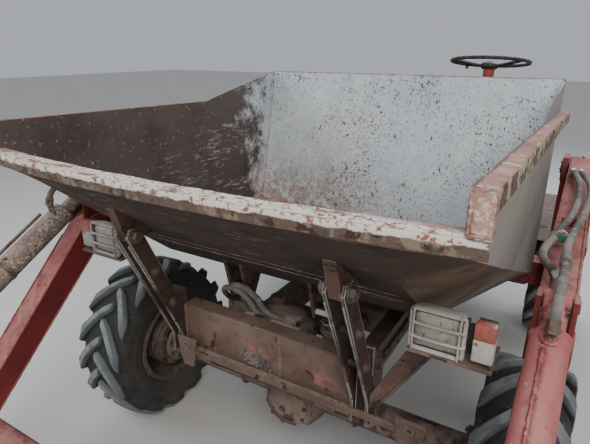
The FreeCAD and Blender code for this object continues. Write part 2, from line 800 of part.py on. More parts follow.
def rear_wedge(name, shift, half):
    """All that lies below and behind the back panel, as far out as half."""
    far = s.skip_rear + 300
    low = floor_rear[1] - 400
    return side_plate(name, (
        (floor_rear[0] - shift, low),
        (floor_rear[0] - shift, floor_rear[1] + 10),
        (back_foot[0] - shift, back_foot[1]),
        (back_bend[0] - shift, back_bend[1]),
        (back_top[0] - shift, back_top[1]),
        (back_top[0] - shift, skip_cap + 100),
        (far, skip_cap + 100),
        (far, low),
    ), (-half, half))


def above_rim():
    """All that lies over the lip and over the side walls' sloping tops."""
    corner = -s.lip_ahead + s.lip_bow
    front = -s.lip_ahead - 200
    far = s.skip_rear + 200
    return side_plate("above_rim", (
        (front, s.lip_high - s.rim_thick),
        (corner, s.lip_high - s.rim_thick),
        (corner, s.lip_high + s.riser_high),
        (s.knee_back, s.knee_high),
        (s.skip_rear, s.back_high),
        (far, s.back_high),
        (far, skip_cap + 200),
        (front, skip_cap + 200),
    ), (-s.skip_rear_half - 200, s.skip_rear_half + 200))


def lip_round(name, shift, low, high):
    """A large upright cylinder whose front follows the bowed lip."""
    reach = s.lip_half * s.lip_half + s.lip_bow * s.lip_bow
    radius = reach / (s.lip_bow * 2)
    return bar(name, "z", (middle, radius - s.lip_ahead), radius - shift, low, high)


def skip_shell():
    """The open steel trough: front panel, floor, sloped sides and leaning back."""
    outside = trough("skip_outside", skip_sections(-s.lip_ahead, s.skip_rear), as_size(0), as_size(0))
    inside = trough("skip_inside", skip_sections(-s.lip_ahead - 5, s.skip_rear + 5), s.skip_wall,
                    s.skip_floor * 1.25)
    wedge_half = s.skip_rear_half - 4
    outside = less("skip_outside_cut", outside, rear_wedge("wedge_outside", as_size(0), wedge_half))
    inside = less("skip_inside_cut", inside, rear_wedge("wedge_inside", s.skip_floor, wedge_half + 200))
    hollow = less("skip_hollow", outside, inside)
    trimmed = less("skip_trimmed", hollow, above_rim())
    bow = lip_round("lip_bow_cut", as_size(0), s.wall_rear_low - 200, skip_cap + 200)
    return shared("skip_shell", trimmed, bow)


def skip_rim():
    """Angle iron along the lip and round the outside of both side walls."""
    corner = -s.lip_ahead + s.lip_bow
    lip_half = s.lip_half + s.skip_wall + s.rim_wide
    low = s.lip_high - s.lip_deep
    outer = lip_round("lip_outer", as_size(-12), low, s.lip_high)
    inner = lip_round("lip_inner", as_size(36), low - 5, s.lip_high + 5)
    front_leg_back = lip_round("lip_leg_back", as_size(-6), low - 5, s.lip_high - s.rim_thick)
    band = block("lip_band", (-lip_half, lip_half), (-s.lip_ahead - 60, corner + 40), (low, s.lip_high))
    ring = less("lip_ring", less("lip_ring_outer", outer, inner), front_leg_back)
    slot_x = (s.lip_half - 0.5, half_width(corner + 60) + s.skip_wall + 0.3)
    wall_slot = block("lip_wall_slot", slot_x, (corner, corner + 60), (low - 5, s.lip_high + 5))
    banded = shared("lip_banded", ring, band)
    lip = less("lip_iron", banded, grouped("lip_wall_slots", both_sides([wall_slot])))
    sections = []
    # Side rim: distance back, height of its top
    stations = (
        (corner, s.lip_high + s.riser_high),
        (s.knee_back, s.knee_high),
        (s.skip_rear, s.rim_rear_high),
    )
    for y, top in stations:
        wall = half_width(y) + s.skip_wall + 0.3
        edge = wall + s.rim_wide
        sections.append((y, (
            (wall, top),
            (wall, top - s.rim_thick),
            (edge - s.rim_thick, top - s.rim_thick),
            (edge - s.rim_thick, top - s.rim_deep),
            (edge, top - s.rim_deep),
            (edge, top),
        )))
    side = lofted("side_rim", sections)
    wall = half_width(corner) + s.skip_wall
    riser = block("rim_riser", (wall + 0.3, wall + s.rim_wide), (corner - 10, corner),
                  (s.lip_high - s.rim_thick, s.lip_high + s.riser_high))
    return joined("skip_rim", [lip] + both_sides([side, riser]))


def skip_lugs():
    """Hinge ears under the front panel, and the ears for the tipping rams."""
    pivot_y, pivot_z = tip_pivot
    slope = (s.lip_high - 23 - floor_front[1]) / (floor_front[0] + s.lip_ahead)

    def panel_under(y):
        return floor_front[1] + (floor_front[0] - y) * slope

    gap = s.post_wide / 2 - s.plate_thick - s.hinge_play
    mid = s.post_inside + s.post_wide / 2
    ear = side_plate("hinge_ear", (
        (pivot_y - 60, panel_under(pivot_y - 60)),
        (pivot_y - 22, pivot_z - 16),
        (pivot_y - 8, pivot_z - 27),
        (pivot_y + 8, pivot_z - 27),
        (pivot_y + 22, pivot_z - 16),
        (pivot_y + 90, panel_under(pivot_y + 90)),
    ), (mid - gap, mid + gap))
    bore = bar("hinge_ear_bore", "x", tip_pivot, s.pivot_radius + s.running_gap,
               mid - gap - 5, mid + gap + 5)
    hinge_ear = less("bored_hinge_ear", ear, bore)
    eye_y, eye_z = tip_eye
    fall = (floor_front[1] - floor_rear[1]) / (floor_rear[0] - floor_front[0])

    def floor_under(y):
        return floor_front[1] - (y - floor_front[0]) * fall

    ears = []
    # The eye between the ears is open, so each ear holds only its own pin end.
    ear_x = (s.tip_ram_x - s.ram_ear_inside - s.ram_ear_thick, s.tip_ram_x + s.ram_ear_inside)
    for index, x in enumerate(ear_x):
        ears.append(side_plate(f"ram_ear_{index}", (
            (eye_y - 10, panel_under(floor_front[0])),
            (eye_y - 60, panel_under(eye_y - 60)),
            (eye_y - 24, eye_z - 20),
            (eye_y + 24, eye_z - 20),
            (eye_y + 70, floor_under(eye_y + 70)),
        ), (x, x + s.ram_ear_thick)))
        end = x + (index - 1) * pin_over
        ears.append(bar(f"ram_ear_pin_{index}", "x", tip_eye, s.tip_pin_radius, end,
                        end + s.ram_ear_thick + pin_over))
    pair = grouped("ram_ears", [joined("ram_ear_in", ears[:2]), joined("ram_ear_out", ears[2:])])
    return grouped("skip_lugs", both_sides([hinge_ear, pair]))


# Rams

def ram_piece(name, x, foot, eye, radius, low, high, pin_radius, eye_end, eye_wide):
    """One stage of a ram, from low to high along it, with an eye at one end."""
    direction = heading(foot, eye)
    body = slanted(name + "_bar", x, foot, direction, radius, low, high)
    spot = foot if eye_end == "foot" else eye
    boss = bar(name + "_boss", "x", spot, pin_radius + 12, x - eye_wide / 2, x + eye_wide / 2)
    solid = joined(name + "_solid", [body, boss])
    bore = bar(name + "_bore", "x", spot, pin_radius + s.running_gap, x - eye_wide, x + eye_wide)
    return less(name + "_bored", solid, bore)


def plain_ram(name, x, foot, eye, radius, barrel_long, rod_from, pin_radius, neck=None):
    """A barrel bored for its rod, and the rod. A neck has a radius and a length."""
    length = span(foot, eye)
    direction = heading(foot, eye)
    wide = as_size(56)
    rod_radius = radius * 0.56
    if neck:
        stem = ram_piece(name + "_neck", x, foot, eye, neck[0], as_size(12), neck[1] + 10, pin_radius,
                         "foot", wide)
        wider = slanted(name + "_tube", x, foot, direction, radius, neck[1], barrel_long)
        barrel = joined(name + "_barrel_one", [stem, wider])
    else:
        barrel = ram_piece(name + "_barrel_one", x, foot, eye, radius, as_size(12), barrel_long, pin_radius,
                           "foot", wide)
    bore = slanted(name + "_barrel_bore", x, foot, direction, rod_radius + s.running_gap, as_size(80), length)
    barrel = less(name + "_barrel_hollow", barrel, bore)
    rod = ram_piece(name + "_rod_one", x, foot, eye, rod_radius, as_size(rod_from), length - 12, pin_radius,
                    "eye", wide)
    return barrel, rod


def tip_rams():
    long = span(tip_foot, tip_eye) - 96
    barrel, rod = plain_ram("tip", s.tip_ram_x, tip_foot, tip_eye, s.tip_ram_radius, long, 90,
                            s.tip_pin_radius)
    return grouped("tip_barrels", both_sides([barrel])), grouped("tip_rods", both_sides([rod]))


def lift_rams():
    long = span(lift_foot, lift_eye) - 108
    barrel, rod = plain_ram("lift", arm_mid, lift_foot, lift_eye, s.lift_radius, long, 90,
                            s.ram_pin_radius)
    return grouped("lift_barrels", both_sides([barrel])), grouped("lift_rods", both_sides([rod]))


def crowd_rams():
    long = span(crowd_foot, crowd_eye) * 0.6
    barrel, rod = plain_ram("crowd", arm_mid, crowd_foot, crowd_eye, s.crowd_radius, long, 380,
                            s.ram_pin_radius, (s.crowd_neck_radius, s.crowd_neck_long))
    return grouped("crowd_barrels", both_sides([barrel])), grouped("crowd_rods", both_sides([rod]))


# Loader

def arm_line(y):
    """Height of the arms' rear length's middle at a distance back."""
    rise = (arm_pivot[1] - elbow[1]) / (arm_pivot[0] - elbow[0])
    return elbow[1] + rise * (y - elbow[0])


def loader_tower(side):
    """Two cheeks beside the arm's rear end, a back web and two pins."""
    y, z = arm_pivot
    back = y + 90
    outline = (
        (lift_foot[0] - 46, lift_foot[1] - 44),
        (lift_foot[0] + 40, lift_foot[1] - 44),
        (back, rail_top),
        (back, z - 30),
        (y + 50, z + 62),
        (y - 50, z + 62),
        (y - 72, z - 30),
        (lift_foot[0] - 60, rail_top),
    )
    inner = side_plate(f"tower_inner_{side}", outline, (tower_inside, tower_inside + s.tower_plate))
    outer = side_plate(f"tower_outer_{side}", outline, (tower_outside - s.tower_plate, tower_outside))
    web = block(f"tower_web_{side}", (tower_inside, tower_outside), (back - 12, back), (rail_top, z - 60))
    ends = (tower_inside - 6, tower_outside + 6)
    pin = bar(f"arm_pin_{side}", "x", arm_pivot, s.arm_pin_radius, ends[0], ends[1])
    foot_pin = bar(f"lift_foot_pin_{side}", "x", lift_foot, s.ram_pin_radius, ends[0], ends[1])
    return joined(f"tower_{side}", [inner, outer, web, pin, foot_pin])


def loader_towers():
    """Both towers on the cross beam behind the skip."""
    beam = block("tower_beam", (-tower_inside, tower_inside), (deck_front, deck_front + 100),
                 (rail_top, rail_top + 120))
    return joined("loader_towers", [beam] + both_sides([loader_tower("one")]))


def loader_arm(name, side):
    """A bent box arm with bosses, the ram's bracket and its pins."""
    half = s.arm_deep / 2
    rear_way = heading(elbow, arm_pivot)
    front_way = heading(bucket_pin, elbow)
    bend = (rear_way + front_way) / 2
    reach = half / cosine((front_way - rear_way) / 2)

    def offset(point, degrees, distance):
        return along(point, degrees + 90, distance)

    narrow = half * 0.62
    outline = (
        offset(arm_pivot, rear_way, half * 0.9),
        offset(elbow, bend, reach),
        offset(bucket_pin, front_way, narrow),
        offset(bucket_pin, front_way, -narrow),
        offset(elbow, bend, -reach),
        offset(arm_pivot, rear_way, half * -0.9),
    )
    low = arm_inside if side > 0 else -arm_inside - s.arm_wide
    high = low + s.arm_wide
    beam = side_plate(name + "_beam", outline, (low, high))
    rear_boss = bar(name + "_rear_boss", "x", arm_pivot, half * 1.1, low, high)
    front_boss = bar(name + "_front_boss", "x", bucket_pin, narrow, low, high)
    elbow_boss = bar(name + "_elbow_boss", "x", elbow, half * 1.06, low, high)
    eye_y, eye_z = lift_eye
    cheek_outline = (
        (eye_y - 90, arm_line(eye_y - 90) - half + 12),
        (eye_y - 24, eye_z - 24),
        (eye_y + 24, eye_z - 24),
        (eye_y + 90, arm_line(eye_y + 90) - half + 12),
    )
    cheeks = []
    for index, x in enumerate((low, high - 14)):
        cheeks.append(side_plate(f"{name}_cheek_{index}", cheek_outline, (x, x + 14)))
    # The ram's eye is open between the cheeks, so each cheek holds a pin end.
    cheeks.append(bar(name + "_lift_pin_low", "x", lift_eye, s.ram_pin_radius, low - 3, low + 14))
    cheeks.append(bar(name + "_lift_pin_high", "x", lift_eye, s.ram_pin_radius, high - 14, high + 3))
    solid = joined(name + "_solid", [beam, rear_boss, front_boss, elbow_boss] + cheeks)
    pin = bar(name + "_bucket_pin", "x", bucket_pin, s.arm_pin_radius, low - 26, high + 26)
    whole = joined(name + "_whole", [solid, pin] + crowd_bracket(name, low, high))
    bore = bar(name + "_bore", "x", arm_pivot, s.arm_pin_radius + s.running_gap, low - 5, high + 5)
    return less(name, whole, bore)


def crowd_bracket(name, low, high):
    """The ears over an arm's elbow that hold its crowd ram."""
    y, z = crowd_foot
    outline = (
        (y - 24, z + 20),
        (y - 24, z - 20),
        (elbow[0] - 52, elbow[1] + 28),
        (elbow[0] + 60, elbow[1] + 44),
        (y + 24, z + 20),
    )
    ears = []
    for index, x in enumerate((low, high - 12)):
        ears.append(side_plate(f"{name}_crowd_ear_{index}", outline, (x, x + 12)))
    pin = bar(name + "_crowd_pin", "x", crowd_foot, s.ram_pin_radius, low - 3, high + 3)
    return ears + [pin]


def loader_cross_tube():
    centre = along(bucket_pin, heading(bucket_pin, elbow), s.cross_tube_up)
    return grouped("loader_cross_tube", [
        bar("cross_tube_bar", "x", centre, s.cross_tube_radius, -arm_inside, arm_inside),
    ])


# Bucket

bucket_front = -s.bucket_pin_ahead - s.bucket_reach
bucket_back = bucket_pin[0] - 72
bucket_top = s.bucket_lift + s.bucket_high
bucket_half = arm_inside + s.arm_wide + s.bucket_past_arm


def bucket_shell():
    """Floor, curved back and two ends, open to the front and top."""
    wall = s.bucket_wall
    low = s.bucket_lift
    outside = side_plate("bucket_outside", (
        (bucket_front + 40, low),
        (bucket_back - 60, low),
        (bucket_back - 14, low + 24),
        (bucket_back, low + 90),
        (bucket_back, bucket_top - 90),
        (bucket_back - 50, bucket_top),
        (bucket_back - 80, bucket_top),
    ), (-bucket_half, bucket_half))
    inside = side_plate("bucket_inside", (
        (bucket_front - 60, low + wall),
        (bucket_back - 64, low + wall),
        (bucket_back - 24, low + 32),
        (bucket_back - wall, low + 92),
        (bucket_back - wall, bucket_top - 94),
        (bucket_back - 62, bucket_top + 5),
        (bucket_front - 60, bucket_top + 5),
    ), (-bucket_half + wall, bucket_half - wall))
    edge = side_plate("bucket_edge", (
        (bucket_front, low),
        (bucket_front + 150, low),
        (bucket_front + 150, low + wall + 4),
        (bucket_front + 26, low + wall + 4),
    ), (-bucket_half, bucket_half))
    hollow = less("bucket_hollow", outside, inside)
    return joined("bucket_shell", [hollow, edge])


def bucket_lugs():
    """Pairs of ears behind the bucket for the arms and for the crowd rams."""
    y, z = bucket_pin
    parts = []
    gap = s.bucket_ear_gap
    thick = s.bucket_ear_thick
    outline = (
        (bucket_back, z - 70),
        (y + 8, z - 34),
        (y + 34, z - 10),
        (y + 34, z + 10),
        (y + 8, z + 34),
        (bucket_back, z + 150),
    )
    low = arm_inside - gap - thick
    high = arm_inside + s.arm_wide + gap
    ears = []
    for index, x in enumerate((low, high)):
        ears.append(side_plate(f"bucket_ear_{index}", outline, (x, x + thick)))
    bore = bar("bucket_ear_bore", "x", bucket_pin, s.arm_pin_radius + s.running_gap, low - 5,
               high + thick + 5)
    bored = less("bored_bucket_ears", grouped("bucket_ears", ears), bore)
    parts += both_sides([bored])
    eye_y, eye_z = crowd_eye
    crowd_outline = (
        (bucket_back, bucket_top - 190),
        (bucket_back, bucket_top - 90),
        (bucket_back - 50, bucket_top),
        (eye_y - 26, eye_z - 10),
        (eye_y - 26, eye_z + 22),
        (eye_y + 26, eye_z + 22),
        (bucket_back + 20, bucket_top - 60),
    )
    inside = s.ram_ear_inside + 2
    for index, x in enumerate((arm_mid - inside - s.ram_ear_thick, arm_mid + inside)):
        plate = side_plate(f"crowd_ear_{index}", crowd_outline, (x, x + s.ram_ear_thick))
        end = x + (index - 1) * pin_over
        pin = bar(f"crowd_ear_pin_{index}", "x", crowd_eye, s.ram_pin_radius, end,
                  end + s.ram_ear_thick + pin_over)
        parts += both_sides([joined(f"pinned_crowd_ear_{index}", [plate, pin])])
    return grouped("bucket_lugs", parts)


# Driver's place and rear body

cover_x = (-s.engine_mid - s.cover_wide / 2, -s.engine_mid + s.cover_wide / 2)
cover_rear = chassis_rear - 30
cover_front = cover_rear - s.cover_long
cover_hinge = (cover_rear + 15, deck_high + 14)
hinge_places = (s.cover_wide * 0.3 - s.engine_mid, s.cover_wide * -0.3 - s.engine_mid)


def deck_plate():
    """Footplate, the plates over the rear wheels and the cover's hinge pin."""
    foot_half = s.skip_rear_half - 40
    sheet_z = (deck_under, deck_high)
    foot = block("footplate", (-foot_half, foot_half), (deck_front, cover_front - 15), sheet_z)
    wing_y = (cover_front - 40, chassis_rear)
    wing = block("wing_plate", (cover_x[1] + 10, s.deck_half), wing_y, sheet_z)
    right = block("right_wing", (-s.deck_half, cover_x[0] - 10), wing_y, sheet_z)
    skirt_z = (deck_high - 45, deck_high)
    skirt = block("wing_skirt", (s.deck_half - s.deck_thick / 2, s.deck_half), wing_y, skirt_z)
    bridge_x = (cover_x[0] - 20, cover_x[1] + 20)
    bridge = block("rear_bridge", bridge_x, (cover_rear + 4, chassis_rear), sheet_z)
    stands = []
    hinge_y, hinge_z = cover_hinge
    for index, x in enumerate(hinge_places):
        for step, (low, high) in enumerate(((x - 34, x - 22), (x + 22, x + 34))):
            stands.append(block(f"hinge_ear_{index}_{step}", (low, high), (hinge_y - 9, hinge_y + 9),
                                (deck_high, hinge_z + 9)))
        stands.append(bar(f"hinge_pin_{index}", "x", cover_hinge, 6, x - 36, x + 36))
    # Stands between rails and deck: front face, rear face
    stand_y = ((deck_front + 110, deck_front + 150), (chassis_rear - 12, chassis_rear))
    for index, ends in enumerate(stand_y):
        stand = block(f"deck_stand_{index}", (s.rail_inside, rail_outside), ends, (rail_top, deck_under))
        stands += both_sides([stand])
    return joined("deck_plate", [foot, wing, right, bridge] + both_sides([skirt]) + stands)


def engine_block():
    rear = cover_rear - 90
    mid = -s.engine_mid
    return grouped("engine_block", [
        block("engine_case", (mid - s.engine_wide / 2, mid + s.engine_wide / 2), (rear - s.engine_long, rear),
              (rail_top, rail_top + s.engine_deep)),
    ])


def engine_cover():
    """A sheet steel hood, open below, that swings back about its rear edge."""
    low = deck_high + 6
    high = low + s.cover_deep
    outside = side_plate("cover_outside", (
        (cover_front, low),
        (cover_rear, low),
        (cover_rear, high - 60),
        (cover_rear - 50, high),
        (cover_front + 40, high),
        (cover_front, high - 40),
    ), cover_x)
    t = s.cover_sheet
    inside = side_plate("cover_inside", (
        (cover_front + t, low - 20),
        (cover_rear - t, low - 20),
        (cover_rear - t, high - 60 - t),
        (cover_rear - 50 - t, high - t),
        (cover_front + 40 + t, high - t),
        (cover_front + t, high - 40 - t),
    ), (cover_x[0] + t, cover_x[1] - t))
    hood = less("hood", outside, inside)
    leaves = []
    for index, x in enumerate(hinge_places):
        eye = bar(f"cover_eye_{index}", "x", cover_hinge, 11, x - 20, x + 20)
        leaf = block(f"cover_leaf_{index}", (x - 20, x + 20), (cover_rear - 1, cover_hinge[0]),
                     (cover_hinge[1] - 4, cover_hinge[1] + 11))
        solid = joined(f"cover_hinge_{index}", [eye, leaf])
        bore = bar(f"cover_bore_{index}", "x", cover_hinge, 6 + s.running_gap, x - 25, x + 25)
        leaves.append(less(f"bored_cover_hinge_{index}", solid, bore))
    return joined("engine_cover", [hood] + leaves)


def seat_box():
    """The hydraulic tank that carries the seat."""
    half = s.seat_wide / 2
    low_x = s.driver_x - half + 20
    box = block("tank_box", (cover_x[1] + 12, s.driver_x + half - 20),
                (s.seat_back_from + 20, s.seat_back_from + s.seat_long), (deck_high, s.seat_high))
    frame = block("seat_frame", (low_x, s.driver_x + half - 20),
                  (s.seat_back_from + s.seat_long, s.seat_back_from + s.seat_long + 30),
                  (s.seat_high - 30, s.seat_high + 330))
    return joined("seat_box", [box, frame])


def seat():
    """Cushion and backrest, plain solids of the true outer size."""
    half = s.seat_wide / 2
    x = (s.driver_x - half, s.driver_x + half)
    rear = s.seat_back_from + s.seat_long
    split = rear - 70
    low = s.seat_high + fabric_gap
    cushion = block("seat_cushion", x, (s.seat_back_from, split - fabric_gap), (low, s.seat_high + 90))
    back = block("seat_backrest", x, (split, rear - fabric_gap), (low, s.seat_high + 360))
    return grouped("seat", [cushion, back])


def column_foot():
    return (deck_front + s.column_behind, deck_high)


def wheel_hub():
    return (deck_front + s.column_behind + s.column_lean, s.wheel_high)


def steering_column():
    """The leaning column with its console and two levers."""
    foot = column_foot()
    hub = wheel_hub()
    way = heading(foot, hub)
    tube = slanted("column_tube", s.driver_x, foot, way, 26, as_size(12), span(foot, hub) - 30)
    y = foot[0]
    console = block("console", (s.driver_x - 150, s.driver_x + 60), (y - 45, y - 15),
                    (deck_high, s.wheel_high - 330))
    base = block("column_base", (s.driver_x - 60, s.driver_x + 60), (y - 45, y + 45),
                 (deck_high, deck_high + 60))
    arm = block("column_arm", (s.driver_x - 20, s.driver_x + 20), (y - 30, y + 40),
                (s.wheel_high - 480, s.wheel_high - 440))
    lever_way = as_size(82)
    levers = []
    for index in range(2):
        x = s.driver_x - 130 + 40 * index
        lever = slanted(f"lever_{index}", x, (y - 30, s.wheel_high - 340), lever_way, 7, ground, as_size(190))
        knob = bar(f"lever_knob_{index}", "z", (x, y - 4), 15, s.wheel_high - 160, s.wheel_high - 128)
        levers += [lever, knob]
    return joined("steering_column", [tube, console, base, arm] + levers)


def steering_wheel():
    """Ring, three spokes and hub, square to the column."""
    foot = column_foot()
    hub = wheel_hub()
    way = heading(foot, hub)
    ring = doc.addObject("Part::Torus", "steering_ring")
    bind(ring, "Radius1", s.steering_radius)
    ring.Radius2 = 9
    place(ring, s.driver_x, hub[0], hub[1], (1, 0, 0), way - 90)
    boss = slanted("steering_hub", s.driver_x, hub, way, 30, as_size(-29.5), as_size(8))
    spokes = []
    for index, turn in enumerate((90, 210, 330)):
        spoke = doc.addObject("Part::Box", f"spoke_{index}")
        bind(spoke, "Length", s.steering_radius)
        spoke.Width = 16
        spoke.Height = 6
        lean = FreeCAD.Rotation(FreeCAD.Vector(1, 0, 0), way.value - 90)
        spin = FreeCAD.Rotation(FreeCAD.Vector(0, 0, 1), turn)
        side = lean.multiply(spin).multVec(FreeCAD.Vector(0, -8, -3))
        spot = FreeCAD.Vector(s.driver_x.value, hub[0].value, hub[1].value) + side
        spoke.Placement = FreeCAD.Placement(spot, lean.multiply(spin))
        bind(spoke, "Placement.Base.x", s.driver_x + side.x)
        bind(spoke, "Placement.Base.y", hub[0] + side.y)
        bind(spoke, "Placement.Base.z", hub[1] + side.z)
        spokes.append(spoke)
    return joined("steering_wheel", [ring, boss] + spokes)


def fuel_tank():
    """The fuel tank under the deck, hung on the right rail."""
    low = deck_front + 131
    y = (low, low + s.tank_long)
    return grouped("fuel_tank", [
        block("tank", (-rail_outside - s.tank_wide, -rail_outside), y, (s.rail_low, deck_under - 8)),
    ])


def counterweight():
    """The rear weight with its towing jaw and drawbar pin hole."""
    rear = s.wheelbase + s.rear_overhang
    weight = block("weight", (-s.weight_half, s.weight_half), (chassis_rear, rear),
                   (s.rail_low - 40, deck_under - 12))
    slot_z = s.rail_low + 40
    slot = block("jaw_slot", (-s.jaw_slot_half, s.jaw_slot_half), (chassis_rear + 25, rear + 5),
                 (slot_z, slot_z + s.jaw_slot_high))
    slotted = less("slotted_weight", weight, slot)
    bore = bar("jaw_bore", "z", (middle, rear - s.jaw_bore_radius * 2), s.jaw_bore_radius, s.rail_low - 60,
               deck_under)
    return less("counterweight", slotted, bore)


def exhaust_pipe():
    """An upright silencer and pipe beside the engine cover."""
    x = cover_x[0] - 70
    y = cover_front + 160
    shoulder = deck_high + s.silencer_high
    silencer = bar("silencer", "z", (x, y), s.silencer_radius, deck_high, shoulder)
    pipe = bar("tail_pipe", "z", (x, y), s.tail_pipe_radius, shoulder - 10, deck_high + s.tail_pipe_high)
    return joined("exhaust_pipe", [silencer, pipe])


# Lamps

def lamp_brackets():
    """Flat arms from the posts out to the shelves below the lamps."""
    shelf_in = s.lamp_x - s.lamp_wide / 2
    shelf_out = s.lamp_x + s.lamp_wide / 2 + s.marker_wide + 2
    top = s.lamp_low
    arm = cross_plate("bracket_arm", (
        (post_outside, rail_top + 90),
        (post_outside, rail_top + 30),
        (shelf_in + 60, top - 40),
        (shelf_out, top - 30),
        (shelf_out, top - 0.3),
        (shelf_in, top - 0.3),
        (shelf_in, top - 30),
    ), (beam_front, beam_front + 12))
    shelf_y = (6 - s.lamp_ahead, beam_front)
    shelf = block("bracket_shelf", (shelf_in, shelf_out), shelf_y, (top - 10, top - 0.3))
    return grouped("lamp_brackets", both_sides([joined("lamp_bracket", [arm, shelf])]))


def headlamp(name, side):
    """Lamp body with bezel, and the small side lamp outboard of it."""
    low_x = s.lamp_x - s.lamp_wide / 2
    high_x = s.lamp_x + s.lamp_wide / 2
    low = s.lamp_low
    high = low + s.lamp_tall
    face = -s.lamp_ahead
    bezel = block(name + "_bezel", (low_x, high_x), (face, face + 26), (low, high))
    case = block(name + "_case", (low_x + 18, high_x - 14), (face + 26, face + 78), (low, high - 22))
    marker_z = (low + 14, low + 14 + s.marker_tall)
    marker = block(name + "_marker", (high_x, high_x + s.marker_wide), (face + 10, face + 62), marker_z)
    lamp = joined(name + "_lamp", [bezel, case, marker])
    if side > 0:
        return grouped(name, [lamp])
    return grouped(name, [mirrored(lamp)])


def build_nodes():
    tip_barrels, tip_rods = tip_rams()
    lift_barrels, lift_rods = lift_rams()
    crowd_barrels, crowd_rods = crowd_rams()
    nodes = [
        main_frame(), front_beam(), skip_posts(),
        front_axle_housing(), rear_axle_housing(), gearbox_housing(),
        knuckle("knuckle_left", 1), knuckle("knuckle_right", -1), tie_rod(),
        skip_shell(), skip_rim(), skip_lugs(), tip_barrels, tip_rods,
        loader_towers(), loader_arm("loader_arm_left", 1), loader_arm("loader_arm_right", -1),
        loader_cross_tube(), lift_barrels, lift_rods, crowd_barrels, crowd_rods,
        bucket_shell(), bucket_lugs(),
        deck_plate(), engine_block(), engine_cover(), seat_box(), seat(), steering_column(), steering_wheel(),
        fuel_tank(), counterweight(), exhaust_pipe(),
        lamp_brackets(), headlamp("headlamp_left", 1), headlamp("headlamp_right", -1),
    ]
    # Wheels: name, side, distance behind the front axle
    wheels = (
        ("front_left", 1, ground),
        ("front_right", -1, ground),
        ("rear_left", 1, s.wheelbase),
        ("rear_right", -1, s.wheelbase),
    )
    for name, side, y in wheels:
        nodes.append(tyre(name + "_tyre", side, y))
        nodes.append(rim(name + "_rim", side, y))
    return nodes


def check_and_write(nodes):
    for node in nodes:
        node.Label = node.Name
        bind(node, "Placement.Base.y", axle_shift)
        bind(node, "Placement.Base.z", stand)
    doc.recompute()
    for thing in doc.Objects:
        for word in ("Invalid", "Error"):
            if word in thing.State:
                raise RuntimeError(f"{thing.Name} is {thing.State}")
    os.makedirs("parts", exist_ok=True)
    for node in nodes:
        shape = node.Shape
        if shape.isNull() or not shape.isValid() or not shape.Solids:
            raise RuntimeError(f"{node.Name} has no valid shape")
        shape.exportStep(f"parts/{node.Label}.step")
        box = shape.BoundBox
        print(f"{node.Label}: {len(shape.Solids)} solids, x {box.XMin:.1f} {box.XMax:.1f},"
              f" y {box.YMin:.1f} {box.YMax:.1f}, z {box.ZMin:.1f} {box.ZMax:.1f}")


check_and_write(build_nodes())
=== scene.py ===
"""Visual model of the site dumper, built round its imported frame. Metres."""

import math
import random

import bmesh
import bpy
from mathutils import Matrix, Vector


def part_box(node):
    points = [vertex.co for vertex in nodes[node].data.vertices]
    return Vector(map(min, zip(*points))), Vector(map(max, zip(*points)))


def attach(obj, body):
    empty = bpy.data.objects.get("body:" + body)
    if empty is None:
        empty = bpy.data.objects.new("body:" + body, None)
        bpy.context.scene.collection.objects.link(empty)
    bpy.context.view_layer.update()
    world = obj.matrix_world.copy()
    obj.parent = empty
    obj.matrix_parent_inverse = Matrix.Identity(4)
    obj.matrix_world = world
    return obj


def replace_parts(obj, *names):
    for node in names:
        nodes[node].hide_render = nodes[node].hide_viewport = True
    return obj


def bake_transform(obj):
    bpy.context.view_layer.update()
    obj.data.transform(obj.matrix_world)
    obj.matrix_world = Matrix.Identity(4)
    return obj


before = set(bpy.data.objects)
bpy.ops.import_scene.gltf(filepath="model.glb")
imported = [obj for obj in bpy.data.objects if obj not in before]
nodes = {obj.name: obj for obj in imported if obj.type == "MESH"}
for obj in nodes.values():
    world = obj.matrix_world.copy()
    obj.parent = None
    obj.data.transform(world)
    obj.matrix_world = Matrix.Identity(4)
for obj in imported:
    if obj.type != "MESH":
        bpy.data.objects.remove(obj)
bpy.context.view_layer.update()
SIDES = (1, -1)


def rgb(red, green, blue):
    """A colour given in the usual 0 to 255, as the linear value Blender wants."""
    out = []
    for part in (red, green, blue):
        part /= 255
        out.append(part / 12.92 if part <= 0.04045 else ((part + 0.055) / 1.055) ** 2.4)
    return (*out, 1.0)


# Materials

